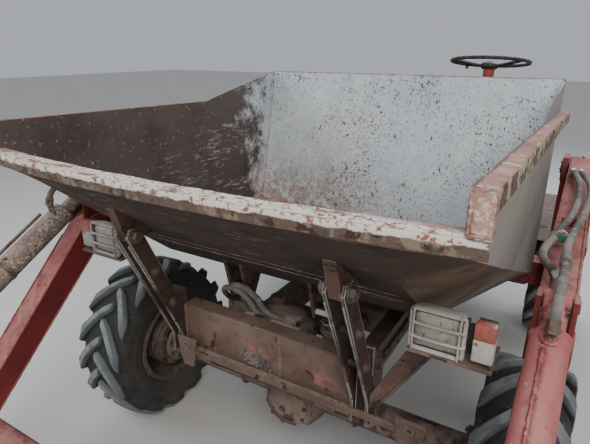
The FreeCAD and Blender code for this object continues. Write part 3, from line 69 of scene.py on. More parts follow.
class Look:
    """A procedural material, built in layers over one colour."""

    def __init__(self, name, colour, rough=0.6, metal=0.0):
        self.material = bpy.data.materials.new(name)
        self.material.use_nodes = True
        self.tree = self.material.node_tree
        self.shader = self.tree.nodes["Principled BSDF"]
        coords = self.node("ShaderNodeTexCoord")
        self.place = coords.outputs["Object"]
        spot = self.node("ShaderNodeSeparateXYZ")
        self.join(self.place, spot.inputs[0])
        self.x, self.y, self.z = spot.outputs
        way = self.node("ShaderNodeSeparateXYZ")
        self.join(coords.outputs["Normal"], way.inputs[0])
        self.nx, self.ny, self.nz = way.outputs
        self.colour = colour
        self.rough = rough
        self.metal = metal
        self.height = None
        self.soft = None

    def node(self, kind):
        return self.tree.nodes.new(kind)

    def join(self, source, target):
        """Feeds a socket from another socket or from a plain value."""
        if isinstance(source, bpy.types.NodeSocket):
            self.tree.links.new(source, target)
        else:
            target.default_value = source

    def math(self, operation, a, b=0.0, clamp=False):
        node = self.node("ShaderNodeMath")
        node.operation = operation
        node.use_clamp = clamp
        self.join(a, node.inputs[0])
        self.join(b, node.inputs[1])
        return node.outputs[0]

    def both(self, *masks):
        out = masks[0]
        for mask in masks[1:]:
            out = self.math("MULTIPLY", out, mask)
        return out

    def either(self, *masks):
        out = masks[0]
        for mask in masks[1:]:
            out = self.math("MAXIMUM", out, mask)
        return out

    def no(self, mask):
        return self.math("SUBTRACT", 1.0, mask, clamp=True)

    def ramp(self, value, low, high, top=1.0, smooth=True):
        """0 where value is at low, top where it is at high."""
        node = self.node("ShaderNodeMapRange")
        node.interpolation_type = "SMOOTHSTEP" if smooth else "LINEAR"
        self.join(value, node.inputs["Value"])
        node.inputs["From Min"].default_value = low
        node.inputs["From Max"].default_value = high
        node.inputs["To Max"].default_value = top
        return node.outputs[0]

    def noise(self, scale, detail=5.0, rough=0.6, stretch=(1, 1, 1), seed=0.0, warp=0.0):
        where = self.node("ShaderNodeMapping")
        self.join(self.place, where.inputs["Vector"])
        where.inputs["Scale"].default_value = stretch
        where.inputs["Location"].default_value = (seed * 3.7, seed * 1.3, seed * 2.1)
        node = self.node("ShaderNodeTexNoise")
        self.join(where.outputs[0], node.inputs["Vector"])
        node.inputs["Scale"].default_value = scale
        node.inputs["Detail"].default_value = detail
        node.inputs["Roughness"].default_value = rough
        node.inputs["Distortion"].default_value = warp
        return node.outputs[0]

    def patches(self, scale, level, soft=0.03, **more):
        """1 where noise stands above a level."""
        return self.ramp(self.noise(scale, **more), level - soft, level + soft)

    def cells(self, scale, low, high, stretch=(1, 1, 1), seed=0.0):
        """Small round spots."""
        where = self.node("ShaderNodeMapping")
        self.join(self.place, where.inputs["Vector"])
        where.inputs["Scale"].default_value = stretch
        where.inputs["Location"].default_value = (seed, seed * 2, seed * 3)
        node = self.node("ShaderNodeTexVoronoi")
        self.join(where.outputs[0], node.inputs["Vector"])
        node.inputs["Scale"].default_value = scale
        return self.ramp(node.outputs["Distance"], high, low)

    def soften(self, width=0.0035):
        """Shades sharp edges as if they were slightly round."""
        bevel = self.node("ShaderNodeBevel")
        bevel.samples = 4
        bevel.inputs["Radius"].default_value = width
        self.soft = bevel.outputs[0]

    def edges(self, width, low=0.004, high=0.08):
        """1 along the edges of a shape, within about a width of them."""
        bevel = self.node("ShaderNodeBevel")
        bevel.samples = 4
        bevel.inputs["Radius"].default_value = width
        flat = self.node("ShaderNodeNewGeometry")
        dot = self.node("ShaderNodeVectorMath")
        dot.operation = "DOT_PRODUCT"
        self.join(bevel.outputs[0], dot.inputs[0])
        self.join(flat.outputs["Normal"], dot.inputs[1])
        return self.ramp(self.math("SUBTRACT", 1.0, dot.outputs["Value"]), low, high)

    def layer(self, mask, colour=None, rough=None, metal=None, height=0.0):
        """Lays a coat over all that is there, where the mask is 1."""
        if colour is not None:
            node = self.node("ShaderNodeMix")
            node.data_type = "RGBA"
            self.join(mask, node.inputs[0])
            self.join(self.colour, node.inputs[6])
            self.join(colour, node.inputs[7])
            self.colour = node.outputs[2]
        if rough is not None:
            self.rough = self.mixed(mask, self.rough, rough)
        if metal is not None:
            self.metal = self.mixed(mask, self.metal, metal)
        if height:
            self.raise_by(self.math("MULTIPLY", mask, height))

    def mixed(self, mask, a, b):
        node = self.node("ShaderNodeMix")
        self.join(mask, node.inputs[0])
        self.join(a, node.inputs[2])
        self.join(b, node.inputs[3])
        return node.outputs[0]

    def raise_by(self, amount):
        self.height = amount if self.height is None else self.math("ADD", self.height, amount)

    def grain(self, scale, height, detail=4.0, **more):
        self.raise_by(self.math("MULTIPLY", self.noise(scale, detail=detail, **more), height))

    def mottle(self, scale, dark, light, seed=0.0, amount=0.5, **more):
        """Slow drifts of tone, towards a darker and a lighter colour."""
        low = self.noise(scale, seed=seed, **more)
        self.layer(self.ramp(low, 0.52, 0.3, amount), dark)
        self.layer(self.ramp(low, 0.5, 0.72, amount), light)

    def done(self, strength=1.0, **sockets):
        self.join(self.colour, self.shader.inputs["Base Color"])
        self.join(self.rough, self.shader.inputs["Roughness"])
        self.join(self.metal, self.shader.inputs["Metallic"])
        for name, value in sockets.items():
            self.shader.inputs[name.replace("_", " ")].default_value = value
        if self.height is not None:
            bump = self.node("ShaderNodeBump")
            bump.inputs["Strength"].default_value = strength
            bump.inputs["Distance"].default_value = 1.0
            self.join(self.height, bump.inputs["Height"])
            if self.soft is not None:
                self.join(self.soft, bump.inputs["Normal"])
            self.join(bump.outputs[0], self.shader.inputs["Normal"])
        return self.material


RUST = rgb(112, 62, 42)
RUST_DARK = rgb(66, 42, 32)
RUST_PINK = rgb(158, 104, 90)
# dark grime colour, also laid as painted shade under the loader arms
GRIME_AND_SHADE = rgb(42, 35, 30)
DUST = rgb(134, 122, 110)
WORN_STEEL = rgb(168, 162, 154)


def add_dust(look, amount=0.6, colour=DUST, seed=5.0):
    """Dust on what faces up, thicker in slow patches."""
    lying = look.ramp(look.nz, 0.25, 0.95)
    cloud = look.ramp(look.noise(7, seed=seed), 0.3, 0.7)
    look.layer(look.both(lying, cloud, look.ramp(look.noise(60, seed=seed + 1), 0.2, 0.7, amount)), colour, 0.95)


def old_paint(name, colour, dark, light, rust=0.56, wear=0.5, grime=0.5, dust=0.6, bright=WORN_STEEL, seed=0.0,
              remains=()):
    """Faded paint with rust, worn edges, grease and dust, and pink remains on the beam's face."""
    look = Look(name, colour, 0.62)
    look.mottle(2.4, dark, light, seed=seed, amount=0.75)
    look.mottle(19, dark, light, seed=seed + 2, amount=0.4)
    runs = look.ramp(look.noise(9, stretch=(1, 1, 0.12), seed=seed + 3), 0.52, 0.75, 0.5)
    look.layer(runs, dark, 0.75)
    flakes = look.patches(13, rust, 0.015, detail=9.0, rough=0.68, seed=seed + 4, warp=0.4)
    look.layer(flakes, RUST_DARK, 0.88, height=-0.0004)
    bloom = look.patches(28, rust + 0.03, 0.05, detail=6.0, seed=seed + 5)
    look.layer(look.both(bloom, look.ramp(look.noise(3, seed=seed + 6), 0.42, 0.6)), RUST, 0.9)
    for x, z, wide in remains:
        across = look.math("ABSOLUTE", look.math("SUBTRACT", look.x, x))
        along = look.math("ABSOLUTE", look.math("SUBTRACT", look.z, z))
        spot = look.both(look.ramp(across, wide, wide * 0.3), look.ramp(along, 0.036, 0.012), look.ramp(look.y, -0.50, -0.515))
        look.layer(look.both(spot, look.patches(30, 0.51, 0.09, seed=seed + 14, detail=7.0)), rgb(160, 104, 98), 0.8)
    greasy = look.patches(3.2, 1 - grime * 0.8, 0.09, seed=seed + 7)
    look.layer(look.math("MULTIPLY", greasy, 0.8), GRIME_AND_SHADE, 0.5)
    chipped = look.patches(45, 0.5 - wear * 0.12, 0.06, detail=4.0, seed=seed + 8)
    look.layer(look.both(look.edges(0.006), chipped, look.ramp(look.noise(4, seed=seed + 9), 0.35, 0.6, wear)),
               bright, 0.5)
    add_dust(look, dust, seed=seed + 10)
    look.grain(55, 0.0012, seed=seed + 11)
    look.grain(7, 0.002, detail=2.0, seed=seed + 12)
    look.soften()
    return look.done()


def skip_paint():
    """Dirty white outside and at the back inside, brown and scratched elsewhere."""
    white = rgb(210, 217, 221)
    look = Look("skip_white", white, 0.55)
    look.mottle(1.6, rgb(188, 200, 208), rgb(226, 229, 228), amount=0.8)
    look.mottle(12, rgb(180, 188, 192), rgb(220, 222, 220), seed=3, amount=0.4)
    faces_in = look.math("MULTIPLY", look.x, look.nx)
    wall_in = look.ramp(faces_in, -0.3, -0.5)
    floor_in = look.ramp(look.nz, 0.12, 0.3)
    back_in = look.both(look.ramp(look.ny, -0.75, -0.9), look.ramp(look.y, -0.2, 0.2))
    inside = look.either(wall_in, floor_in, back_in)
    outside = look.no(inside)
    # Outside: sides dirty beige white with purplish runs, front panel dark brown, darker lower down and on faces that
    # point down, partly dirt and partly painted shade
    look.layer(outside, rgb(150, 142, 134), 0.7)
    runs = look.noise(9, stretch=(1, 1, 0.16), seed=8, detail=7.0, rough=0.65, warp=0.3)
    look.layer(look.both(outside, look.ramp(look.noise(2.2, seed=50, detail=3.0), 0.42, 0.62, 0.6)), rgb(140, 134, 146), 0.75)
    look.layer(look.both(outside, look.ramp(runs, 0.5, 0.72, 0.4)), rgb(112, 98, 92), 0.75)
    look.layer(look.both(outside, look.ramp(runs, 0.44, 0.28, 0.3)), rgb(180, 172, 162), 0.7)
    under = look.both(outside, look.ramp(look.nz, -0.12, -0.3))
    ahead = look.ramp(look.y, 0.3, -0.1)
    # darker lower down and on faces that point down: partly dirt, partly painted shade
    look.layer(look.both(outside, look.ramp(look.z, 1.1, 0.75, 0.7)), rgb(84, 70, 60), 0.85)
    look.layer(under, rgb(70, 56, 48), 0.85)
    corner = look.both(under, look.ramp(look.math("ABSOLUTE", look.nx), 0.3, 0.5), ahead)
    look.layer(corner, rgb(118, 98, 80), 0.8)
    smears = look.noise(19, stretch=(0.4, 1.2, 1.2), seed=11, detail=9.0, rough=0.75, warp=0.6)
    look.layer(look.both(under, look.ramp(smears, 0.54, 0.66, 0.75)), rgb(124, 106, 86), 0.85)
    scrape = look.noise(60, stretch=(0.3, 1.1, 1.1), seed=52, detail=8.0, rough=0.75)
    scraped = look.ramp(look.noise(3, seed=53), 0.45, 0.62)
    look.layer(look.both(under, look.ramp(scrape, 0.58, 0.63, 0.8), scraped), rgb(168, 156, 138), 0.75)
    look.layer(look.both(under, look.ramp(look.noise(5, seed=12), 0.5, 0.66, 0.85)), rgb(40, 32, 28), 0.75)
    streak = look.noise(22, stretch=(1, 0.25, 0.25), seed=13, detail=6.0)
    look.layer(look.both(under, look.ramp(streak, 0.6, 0.7, 0.5)), rgb(110, 70, 52), 0.9)
    # Inside: brown towards the front, white towards the back, scratched along
    edge_noise = look.noise(7, seed=15, detail=8.0, rough=0.72)
    reach = look.math("ADD", look.y, look.math("MULTIPLY", edge_noise, 1.1))
    brown = look.both(look.either(wall_in, floor_in), look.ramp(reach, 1.16, 0.98), look.no(back_in))
    look.layer(brown, rgb(84, 72, 67), 0.72)
    look.layer(look.both(brown, look.ramp(look.noise(4, seed=17), 0.45, 0.65, 0.7)), rgb(62, 50, 46), 0.7)
    scratch = look.noise(46, stretch=(0.6, 0.2, 1.5), seed=19, detail=9.0, rough=0.8)
    where = look.ramp(look.noise(2.4, stretch=(1, 0.6, 1.8), seed=20), 0.5, 0.62)
    look.layer(look.both(brown, look.ramp(scratch, 0.54, 0.6, 0.85), where), rgb(196, 186, 174), 0.7)
    bare = look.patches(64, 0.64, 0.02, seed=21, detail=8.0, rough=0.7)
    look.layer(look.both(brown, bare), rgb(176, 168, 158), 0.7)
    # Specks of rust and black on the white
    white_in = look.both(inside, look.no(brown))
    crowd = look.ramp(look.noise(2.6, seed=23), 0.38, 0.62)
    left_low = look.both(look.ramp(look.x, 0.25, -0.45), look.ramp(look.z, 1.25, 0.85))
    specks = look.noise(78, stretch=(1, 1, 0.55), seed=25, detail=6.0, rough=0.7)
    level = look.math("SUBTRACT", 0.648, look.math("MULTIPLY", look.math("MAXIMUM", crowd, left_low), 0.09))
    hit = look.math("MULTIPLY", look.math("SUBTRACT", specks, level), 30.0, clamp=True)
    look.layer(look.both(white_in, hit), rgb(72, 62, 60), 0.85)
    orange = look.both(white_in, left_low, look.patches(26, 0.47, 0.08, seed=27, detail=7.0))
    look.layer(look.math("MULTIPLY", orange, 0.75), rgb(160, 104, 72), 0.88)
    fine = look.patches(120, 0.6, 0.03, seed=29)
    look.layer(look.both(white_in, fine, crowd), rgb(112, 88, 78), 0.85)
    tiny = look.patches(150, 0.62, 0.02, seed=51, detail=5.0, stretch=(1, 1, 0.6))
    look.layer(look.both(white_in, tiny), rgb(84, 74, 72), 0.85)
    stains = look.noise(4, stretch=(1, 1, 0.4), seed=31)
    look.layer(look.both(white_in, look.ramp(stains, 0.5, 0.75, 0.4)), rgb(166, 168, 150), 0.6)
    # Bare rusted upper edge and rust along every edge
    look.layer(look.both(look.ramp(look.z, 1.6, 1.607), look.ramp(look.nz, 0.1, 0.5)), rgb(110, 70, 56), 0.9)
    look.layer(look.both(look.edges(0.01), look.patches(24, 0.5, 0.08, seed=33)), rgb(116, 74, 58), 0.85)
    look.grain(42, 0.0014, seed=35)
    look.grain(3.2, 0.014, detail=2.0, seed=36)
    return look.done()


def rim_paint():
    """White worn over pink rust on the lip, salmon rust round the sides."""
    look = Look("rim_rust", rgb(150, 108, 94), 0.75)
    look.mottle(6, rgb(122, 80, 68), rgb(182, 140, 122), amount=0.8)
    look.mottle(34, rgb(116, 70, 60), rgb(196, 160, 146), seed=3, amount=0.5)
    lip = look.ramp(look.y, -0.885, -0.925)
    top = look.ramp(look.nz, 0.5, 0.8)
    band = look.noise(9, stretch=(1, 2.2, 2.2), seed=5, detail=9.0, rough=0.72)
    pink = look.patches(3.1, 0.64, 0.03, seed=41, detail=8.0)
    white = look.both(lip, top, look.ramp(band, 0.43, 0.49), look.no(pink))
    look.layer(white, rgb(222, 214, 204), 0.6, height=0.0005)
    look.layer(look.both(lip, top, look.patches(44, 0.6, 0.03, seed=7, detail=7.0)), rgb(132, 88, 74), 0.85)
    look.layer(look.both(lip, top, look.patches(95, 0.57, 0.03, seed=48, detail=6.0)), rgb(120, 98, 84), 0.85)
    look.layer(look.both(lip, top, pink), rgb(186, 144, 134), 0.75)
    front = look.both(lip, look.no(top))
    look.layer(front, rgb(92, 78, 66), 0.8)
    look.layer(look.both(front, look.patches(30, 0.55, 0.04, seed=9, detail=8.0)), rgb(128, 112, 96), 0.8)
    look.layer(look.both(front, look.patches(36, 0.56, 0.05, seed=10, detail=8.0)), rgb(60, 44, 36), 0.85)
    height = look.math("ADD", look.z, look.math("MULTIPLY", look.noise(30, seed=43, detail=8.0, rough=0.7), 0.022))
    upper = look.both(front, look.ramp(height, 1.4345, 1.4385), look.ramp(look.z, 1.4465, 1.4445))
    look.layer(upper, rgb(222, 212, 200), 0.65)
    look.layer(look.both(upper, look.patches(60, 0.56, 0.03, seed=44)), rgb(150, 96, 84), 0.8)
    riser = look.both(lip, look.ramp(look.z, 1.446, 1.450))
    look.layer(riser, rgb(158, 120, 106), 0.8)
    look.layer(look.both(riser, look.patches(12, 0.5, 0.12, seed=45, detail=8.0)), rgb(184, 142, 130), 0.8)
    look.layer(look.both(riser, look.patches(70, 0.53, 0.05, seed=46, detail=8.0, rough=0.75)), rgb(214, 194, 182), 0.75)
    look.layer(look.both(riser, look.patches(44, 0.6, 0.03, seed=49, detail=8.0)), rgb(120, 78, 64), 0.85)
    leg = look.both(look.no(lip), look.ramp(look.math("ABSOLUTE", look.nx), 0.6, 0.85))
    peel = look.patches(15, 0.5, 0.02, seed=12, detail=8.0, stretch=(1, 1, 1.6))
    look.layer(leg, rgb(98, 76, 60), 0.82)
    look.layer(look.both(leg, peel), rgb(168, 152, 128), 0.75, height=0.0006)
    look.layer(look.both(leg, look.patches(34, 0.55, 0.03, seed=47, detail=8.0)), rgb(66, 48, 38), 0.85)
    bits = look.both(look.no(lip), top, look.patches(20, 0.62, 0.02, seed=14, detail=8.0))
    look.layer(bits, rgb(208, 190, 176), 0.7)
    look.layer(look.both(look.edges(0.007), look.patches(40, 0.5, 0.1, seed=15)), rgb(120, 74, 62), 0.85)
    look.grain(48, 0.0024, seed=16)
    look.grain(9, 0.003, detail=3.0, seed=17)
    return look.done()


def arm_paint():
    """Pink paler on top, partly chalk and partly painted highlight, deep red on the sides, painted shade underneath,
    rust along the welds.
    """
    look = Look("arm_red", rgb(118, 34, 36), 0.6)
    look.mottle(3, rgb(84, 26, 28), rgb(148, 56, 54), amount=0.8)
    # paler on faces that point up: partly chalked paint, partly painted highlight
    chalk_and_highlight = look.ramp(look.nz, 0.3, 0.75)
    look.layer(look.both(chalk_and_highlight, look.ramp(look.noise(5, seed=3), 0.2, 0.5)), rgb(172, 106, 100), 0.85)
    look.layer(look.both(chalk_and_highlight, look.patches(24, 0.55, 0.06, seed=4, detail=7.0)), rgb(146, 74, 68), 0.85)
    look.layer(look.both(look.edges(0.012), look.patches(26, 0.47, 0.08, seed=5)), rgb(134, 78, 58), 0.85)
    look.layer(look.patches(12, 0.63, 0.02, seed=6, detail=9.0, rough=0.7), rgb(84, 46, 36), 0.9)
    runs = look.noise(12, stretch=(1, 1, 0.1), seed=7)
    look.layer(look.ramp(runs, 0.55, 0.72, 0.6), rgb(64, 34, 32), 0.8)
    # painted shade: faces that point down darkened with the grime colour, broken up by noise
    look.layer(look.both(look.ramp(look.nz, -0.2, -0.6), look.ramp(look.noise(8, seed=8), 0.3, 0.6, 0.8)), GRIME_AND_SHADE, 0.8)
    add_dust(look, 0.5, rgb(176, 150, 140))
    look.grain(60, 0.0011, seed=9)
    look.grain(8, 0.002, detail=2.0, seed=10)
    look.soften(0.004)
    return look.done()


def crowd_tube_paint():
    """Pinkish red on the left ram, speckled grey brown on the right one, paler on top (partly chalk, partly painted
    highlight) and darker underneath (painted shade).
    """
    look = Look("crowd_pink", rgb(172, 98, 96), 0.8)
    look.mottle(5, rgb(146, 76, 76), rgb(194, 126, 122), amount=0.75)
    look.layer(look.patches(24, 0.63, 0.04, seed=2, detail=8.0), rgb(112, 50, 50), 0.85)
    beside = look.ramp(look.math("ABSOLUTE", look.math("SUBTRACT", look.x, 0.8545)), 0.013, 0.004)
    look.layer(look.both(beside, look.ramp(look.nz, 0.2, 0.5), look.patches(60, 0.46, 0.05, seed=12, detail=8.0)),
               rgb(118, 40, 44), 0.85)
    right = look.ramp(look.x, 0.1, -0.1)
    look.layer(right, rgb(120, 106, 96), 0.78)
    look.layer(look.both(right, look.patches(20, 0.5, 0.14, seed=3, detail=8.0)), rgb(140, 124, 112), 0.8)
    look.layer(look.both(right, look.patches(80, 0.58, 0.04, seed=4, detail=6.0)), rgb(92, 72, 62), 0.85)
    look.layer(look.both(right, look.patches(90, 0.58, 0.04, seed=5)), rgb(190, 178, 164), 0.8)
    # paler on faces that point up: partly chalk, partly painted highlight; the small specks are dust
    on_top = look.ramp(look.nz, 0.35, 0.9)
    look.layer(look.both(on_top, right, look.ramp(look.noise(16, seed=6, detail=8.0), 0.35, 0.65, 0.5)), rgb(186, 172, 158), 0.9)
    look.layer(look.both(on_top, look.no(right), look.ramp(look.noise(9, seed=6), 0.35, 0.7, 0.5)), rgb(204, 150, 144), 0.9)
    look.layer(look.both(on_top, look.patches(110, 0.66, 0.02, seed=7)), rgb(222, 200, 192), 0.85)
    # painted shade: faces that point down darker
    look.layer(look.ramp(look.nz, -0.15, -0.7, 0.7), rgb(70, 52, 46), 0.85)
    look.layer(look.patches(14, 0.66, 0.03, seed=8, detail=8.0), RUST_DARK, 0.9)
    look.grain(70, 0.001, seed=9)
    look.soften()
    return look.done()


def bucket_steel():
    look = Look("bucket_steel", rgb(98, 62, 50), 0.8)
    look.mottle(3, rgb(66, 44, 38), rgb(128, 88, 72), amount=0.8)
    look.layer(look.patches(9, 0.53, 0.02, seed=2, detail=9.0, rough=0.7), rgb(134, 44, 40), 0.6)
    ahead = look.ramp(look.y, -1.72, -1.9)
    worn = look.both(ahead, look.ramp(look.noise(8, stretch=(1, 0.3, 1), seed=4), 0.3, 0.6))
    look.layer(worn, rgb(150, 142, 134), 0.42, 0.7)
    clay = look.patches(6, 0.54, 0.06, seed=5, detail=8.0)
    look.layer(look.both(clay, look.ramp(look.nz, -0.2, 0.4)), rgb(124, 104, 84), 0.95, height=0.002)
    look.layer(look.both(look.edges(0.008), look.patches(30, 0.45, 0.08, seed=6)), WORN_STEEL, 0.5)
    look.grain(50, 0.0016, seed=7)
    look.soften(0.004)
    return look.done()


def casting():
    """Dusty pinkish iron, darker on faces that point down as painted shade, with dark oily patches."""
    look = Look("axle_iron", rgb(138, 118, 108), 0.8)
    look.mottle(5, rgb(92, 78, 70), rgb(172, 154, 146), amount=0.85)
    # painted shade: faces that point down darkened
    look.layer(look.ramp(look.nz, -0.1, -0.8, 0.75), rgb(64, 54, 48), 0.7)
    look.layer(look.patches(7, 0.56, 0.05, seed=3, detail=7.0), rgb(48, 40, 36), 0.45)
    look.layer(look.patches(18, 0.62, 0.02, seed=4, detail=8.0), rgb(112, 70, 52), 0.9)
    add_dust(look, 0.8, rgb(168, 154, 144))
    look.grain(90, 0.0016, seed=5)
    look.grain(16, 0.002, seed=6)
    look.soften(0.006)
    return look.done()


def plain_steel(name, colour, rough=0.55, metal=0.6, rust=0.58, seed=0.0):
    look = Look(name, colour, rough, metal)
    look.mottle(14, RUST_DARK, WORN_STEEL, seed=seed, amount=0.35)
    look.layer(look.patches(26, rust, 0.04, seed=seed + 1, detail=8.0), RUST, 0.9, 0.1)
    look.layer(look.ramp(look.noise(5, seed=seed + 2), 0.55, 0.75, 0.6), GRIME_AND_SHADE, 0.7, 0.1)
    look.grain(80, 0.0006, seed=seed + 3)
    return look.done()


def chrome():
    look = Look("rod_chrome", rgb(196, 196, 194), 0.16, 1.0)
    look.layer(look.patches(30, 0.62, 0.04, detail=8.0), rgb(120, 84, 62), 0.7, 0.3)
    look.layer(look.ramp(look.noise(6, seed=2), 0.5, 0.75, 0.5), rgb(120, 112, 104), 0.45, 0.7)
    return look.done()


def rubber_look(name, colour, dusty, rough=0.85, amount=0.6, grain=0.0005):
    look = Look(name, colour, rough)
    look.layer(look.ramp(look.noise(6), 0.35, 0.7, amount), dusty, 0.95)
    look.layer(look.patches(40, 0.6, 0.05, seed=2), dusty, 0.95)
    look.grain(140, grain, seed=3)
    look.grain(22, grain * 2, seed=4)
    return look.done()


def tyre_rubber():
    """Dark rubber, bluish grey on the bars with a painted highlight on their tops, painted shade on the tread's floor,
    and pale dust in patches and specks.
    """
    look = Look("tyre_rubber", rgb(58, 56, 54), 0.82)
    away = look.node("ShaderNodeVectorMath")
    away.operation = "LENGTH"
    flat = look.node("ShaderNodeCombineXYZ")
    look.join(look.y, flat.inputs[1])
    look.join(look.z, flat.inputs[2])
    look.join(flat.outputs[0], away.inputs[0])
    radius = away.outputs["Value"]
    look.mottle(9, rgb(44, 42, 40), rgb(74, 71, 68), amount=0.6)
    look.layer(look.ramp(look.noise(5, seed=2), 0.35, 0.7, 0.45), rgb(92, 85, 77), 0.95)
    bars = look.ramp(radius, 0.352, 0.362)
    look.layer(look.both(bars, look.ramp(look.noise(14, seed=4), 0.1, 0.55)), rgb(106, 112, 115), 0.85)
    # painted highlight: the outermost tops of the bars lighter, broken up by noise
    look.layer(look.both(look.ramp(radius, 0.372, 0.378), look.ramp(look.noise(30, seed=8), 0.3, 0.6)),
               rgb(136, 141, 142), 0.85)
    # painted shade: the tread's floor between the bars darker
    look.layer(look.both(look.ramp(radius, 0.357, 0.351), look.ramp(radius, 0.335, 0.345)), rgb(52, 52, 51), 0.95)
    look.layer(look.patches(75, 0.66, 0.03, seed=5), rgb(108, 100, 90), 0.95)
    look.soften(0.003)
    look.grain(120, 0.0008, seed=6)
    look.grain(26, 0.0016, seed=7)
    return look.done()


def lens(name, colour, rough=0.25, dirt=0.5):
    look = Look(name, colour, rough)
    look.layer(look.ramp(look.noise(24), 0.35, 0.7, dirt), rgb(150, 142, 130), 0.8)
    look.layer(look.patches(60, 0.62, 0.05, seed=2), rgb(104, 94, 84), 0.9)
    look.raise_by(look.math("MULTIPLY", look.math("SINE", look.math("MULTIPLY", look.x, 900.0)), 0.0002))
    return look.done(Coat_Weight=0.4)


def floor_look():
    look = Look("studio_floor", rgb(206, 204, 200), 0.7)
    look.mottle(1.1, rgb(196, 194, 190), rgb(214, 212, 208), amount=0.35)
    return look.done()


frame_paint = old_paint("frame_paint", rgb(112, 91, 79), rgb(78, 63, 54), rgb(140, 119, 104), rust=0.62, grime=0.5,
                        remains=((-0.03, 0.716, 0.085), (0.25, 0.700, 0.075)))
post_paint = old_paint("post_paint", rgb(72, 56, 49), rgb(46, 36, 32), rgb(98, 76, 67), rust=0.58, wear=1.0,
                       bright=rgb(206, 200, 192), seed=4)
lug_paint = old_paint("lug_paint", rgb(96, 70, 60), rgb(56, 42, 36), rgb(126, 94, 80), rust=0.56, seed=7)
cover_red = old_paint("cover_red", rgb(152, 50, 46), rgb(112, 34, 34), rgb(180, 92, 80), rust=0.64, grime=0.35,
                      bright=rgb(120, 84, 70), seed=11)
cylinder_paint = old_paint("cylinder_paint", rgb(140, 134, 128), rgb(92, 84, 78), rgb(176, 170, 162), rust=0.58,
                           seed=15)
bracket_paint = old_paint("bracket_paint", rgb(112, 88, 78), rgb(76, 58, 50), rgb(150, 124, 112), rust=0.58, seed=19)
wheel_paint = old_paint("wheel_paint", rgb(84, 72, 66), rgb(50, 42, 38), rgb(132, 120, 110), rust=0.57, grime=0.5,
                        dust=0.9, seed=23)
weight_paint = old_paint("weight_paint", rgb(118, 50, 44), rgb(80, 36, 34), rgb(150, 84, 74), rust=0.6, seed=27)
lamp_white = old_paint("lamp_white", rgb(172, 166, 158), rgb(112, 104, 96), rgb(200, 195, 188), rust=0.66, wear=0.2,
                       grime=0.55, bright=rgb(90, 84, 80), seed=31)
skip_white = skip_paint()
rim_rust = rim_paint()
arm_red = arm_paint()
bucket_rust = bucket_steel()
iron = casting()
steel = plain_steel("dull_steel", rgb(120, 108, 98))
bright_steel = plain_steel("bright_steel", rgb(158, 152, 146), 0.4, 0.85, rust=0.66, seed=5)
pipe_rust = plain_steel("pipe_rust", rgb(104, 76, 62), 0.8, 0.2, rust=0.5, seed=9)
rod_chrome = chrome()
tyre_black = tyre_rubber()
crowd_paint = crowd_tube_paint()
deck_paint = old_paint("deck_paint", rgb(96, 70, 64), rgb(62, 46, 42), rgb(132, 108, 98), rust=0.56, wear=1.0, dust=0.9,
                       bright=rgb(178, 170, 162), seed=41)
pipe_grey = plain_steel("pipe_grey", rgb(118, 110, 102), 0.6, 0.4, rust=0.6, seed=43)
clamp_green = old_paint("clamp_green", rgb(44, 116, 90), rgb(30, 82, 64), rgb(80, 142, 118), rust=0.7, seed=45)
dirt_look = rubber_look("caked_dirt", rgb(82, 74, 68), rgb(150, 142, 134), 0.9, 0.7, 0.001)
# near-black for the insides of openings: painted shade, with soot in the exhaust's mouth
painted_shade_and_soot = rubber_look("painted_shade_and_soot", rgb(16, 14, 13), rgb(40, 34, 30), 0.9, 0.4, 0.0002)
gauge_face = rubber_look("gauge_face", rgb(204, 200, 190), rgb(150, 140, 126), 0.35, 0.4, 0.0001)
hose_rubber = rubber_look("hose_rubber", rgb(84, 80, 76), rgb(150, 142, 132), 0.8, 0.8)
hose_grey = rubber_look("hose_grey", rgb(104, 98, 92), rgb(160, 152, 142))
vinyl = rubber_look("seat_vinyl", rgb(30, 30, 31), rgb(96, 90, 84), 0.5, 0.35, 0.0003)
black_plastic = rubber_look("black_plastic", rgb(24, 24, 25), rgb(84, 80, 76), 0.45, 0.3, 0.0002)
lamp_lens = lens("lamp_lens", rgb(150, 146, 138), 0.35, 0.9)
orange_lens = lens("orange_lens", rgb(168, 78, 66), 0.4, 0.45)
red_lens = lens("red_lens", rgb(150, 24, 22), 0.3, 0.4)

LOOKS = {
    "main_frame": frame_paint, "front_beam": frame_paint, "skip_posts": post_paint,
    "front_axle_housing": iron, "rear_axle_housing": iron, "gearbox_housing": iron,
    "knuckle_left": iron, "knuckle_right": iron, "tie_rod": steel,
    "skip_shell": skip_white, "skip_rim": rim_rust, "skip_lugs": lug_paint,
    "tip_barrels": cylinder_paint, "tip_rods": rod_chrome, "loader_towers": arm_red,
    "loader_arm_left": arm_red, "loader_arm_right": arm_red, "loader_cross_tube": arm_red,
    "lift_barrels": cylinder_paint, "lift_rods": rod_chrome, "crowd_barrels": crowd_paint,
    "crowd_rods": rod_chrome, "bucket_shell": bucket_rust, "bucket_lugs": bucket_rust,
    "deck_plate": deck_paint, "engine_block": iron, "engine_cover": cover_red, "seat_box": cover_red,
    "seat": vinyl, "steering_column": cover_red, "steering_wheel": black_plastic, "fuel_tank": cover_red,
    "counterweight": weight_paint, "exhaust_pipe": pipe_rust, "lamp_brackets": bracket_paint,
    "headlamp_left": lamp_white, "headlamp_right": lamp_white,
}
for name, thing in nodes.items():
    look = LOOKS.get(name, tyre_black if name.endswith("tyre") else wheel_paint)
    thing.data.materials.clear()
    thing.data.materials.append(look)



# Pieces in mesh code

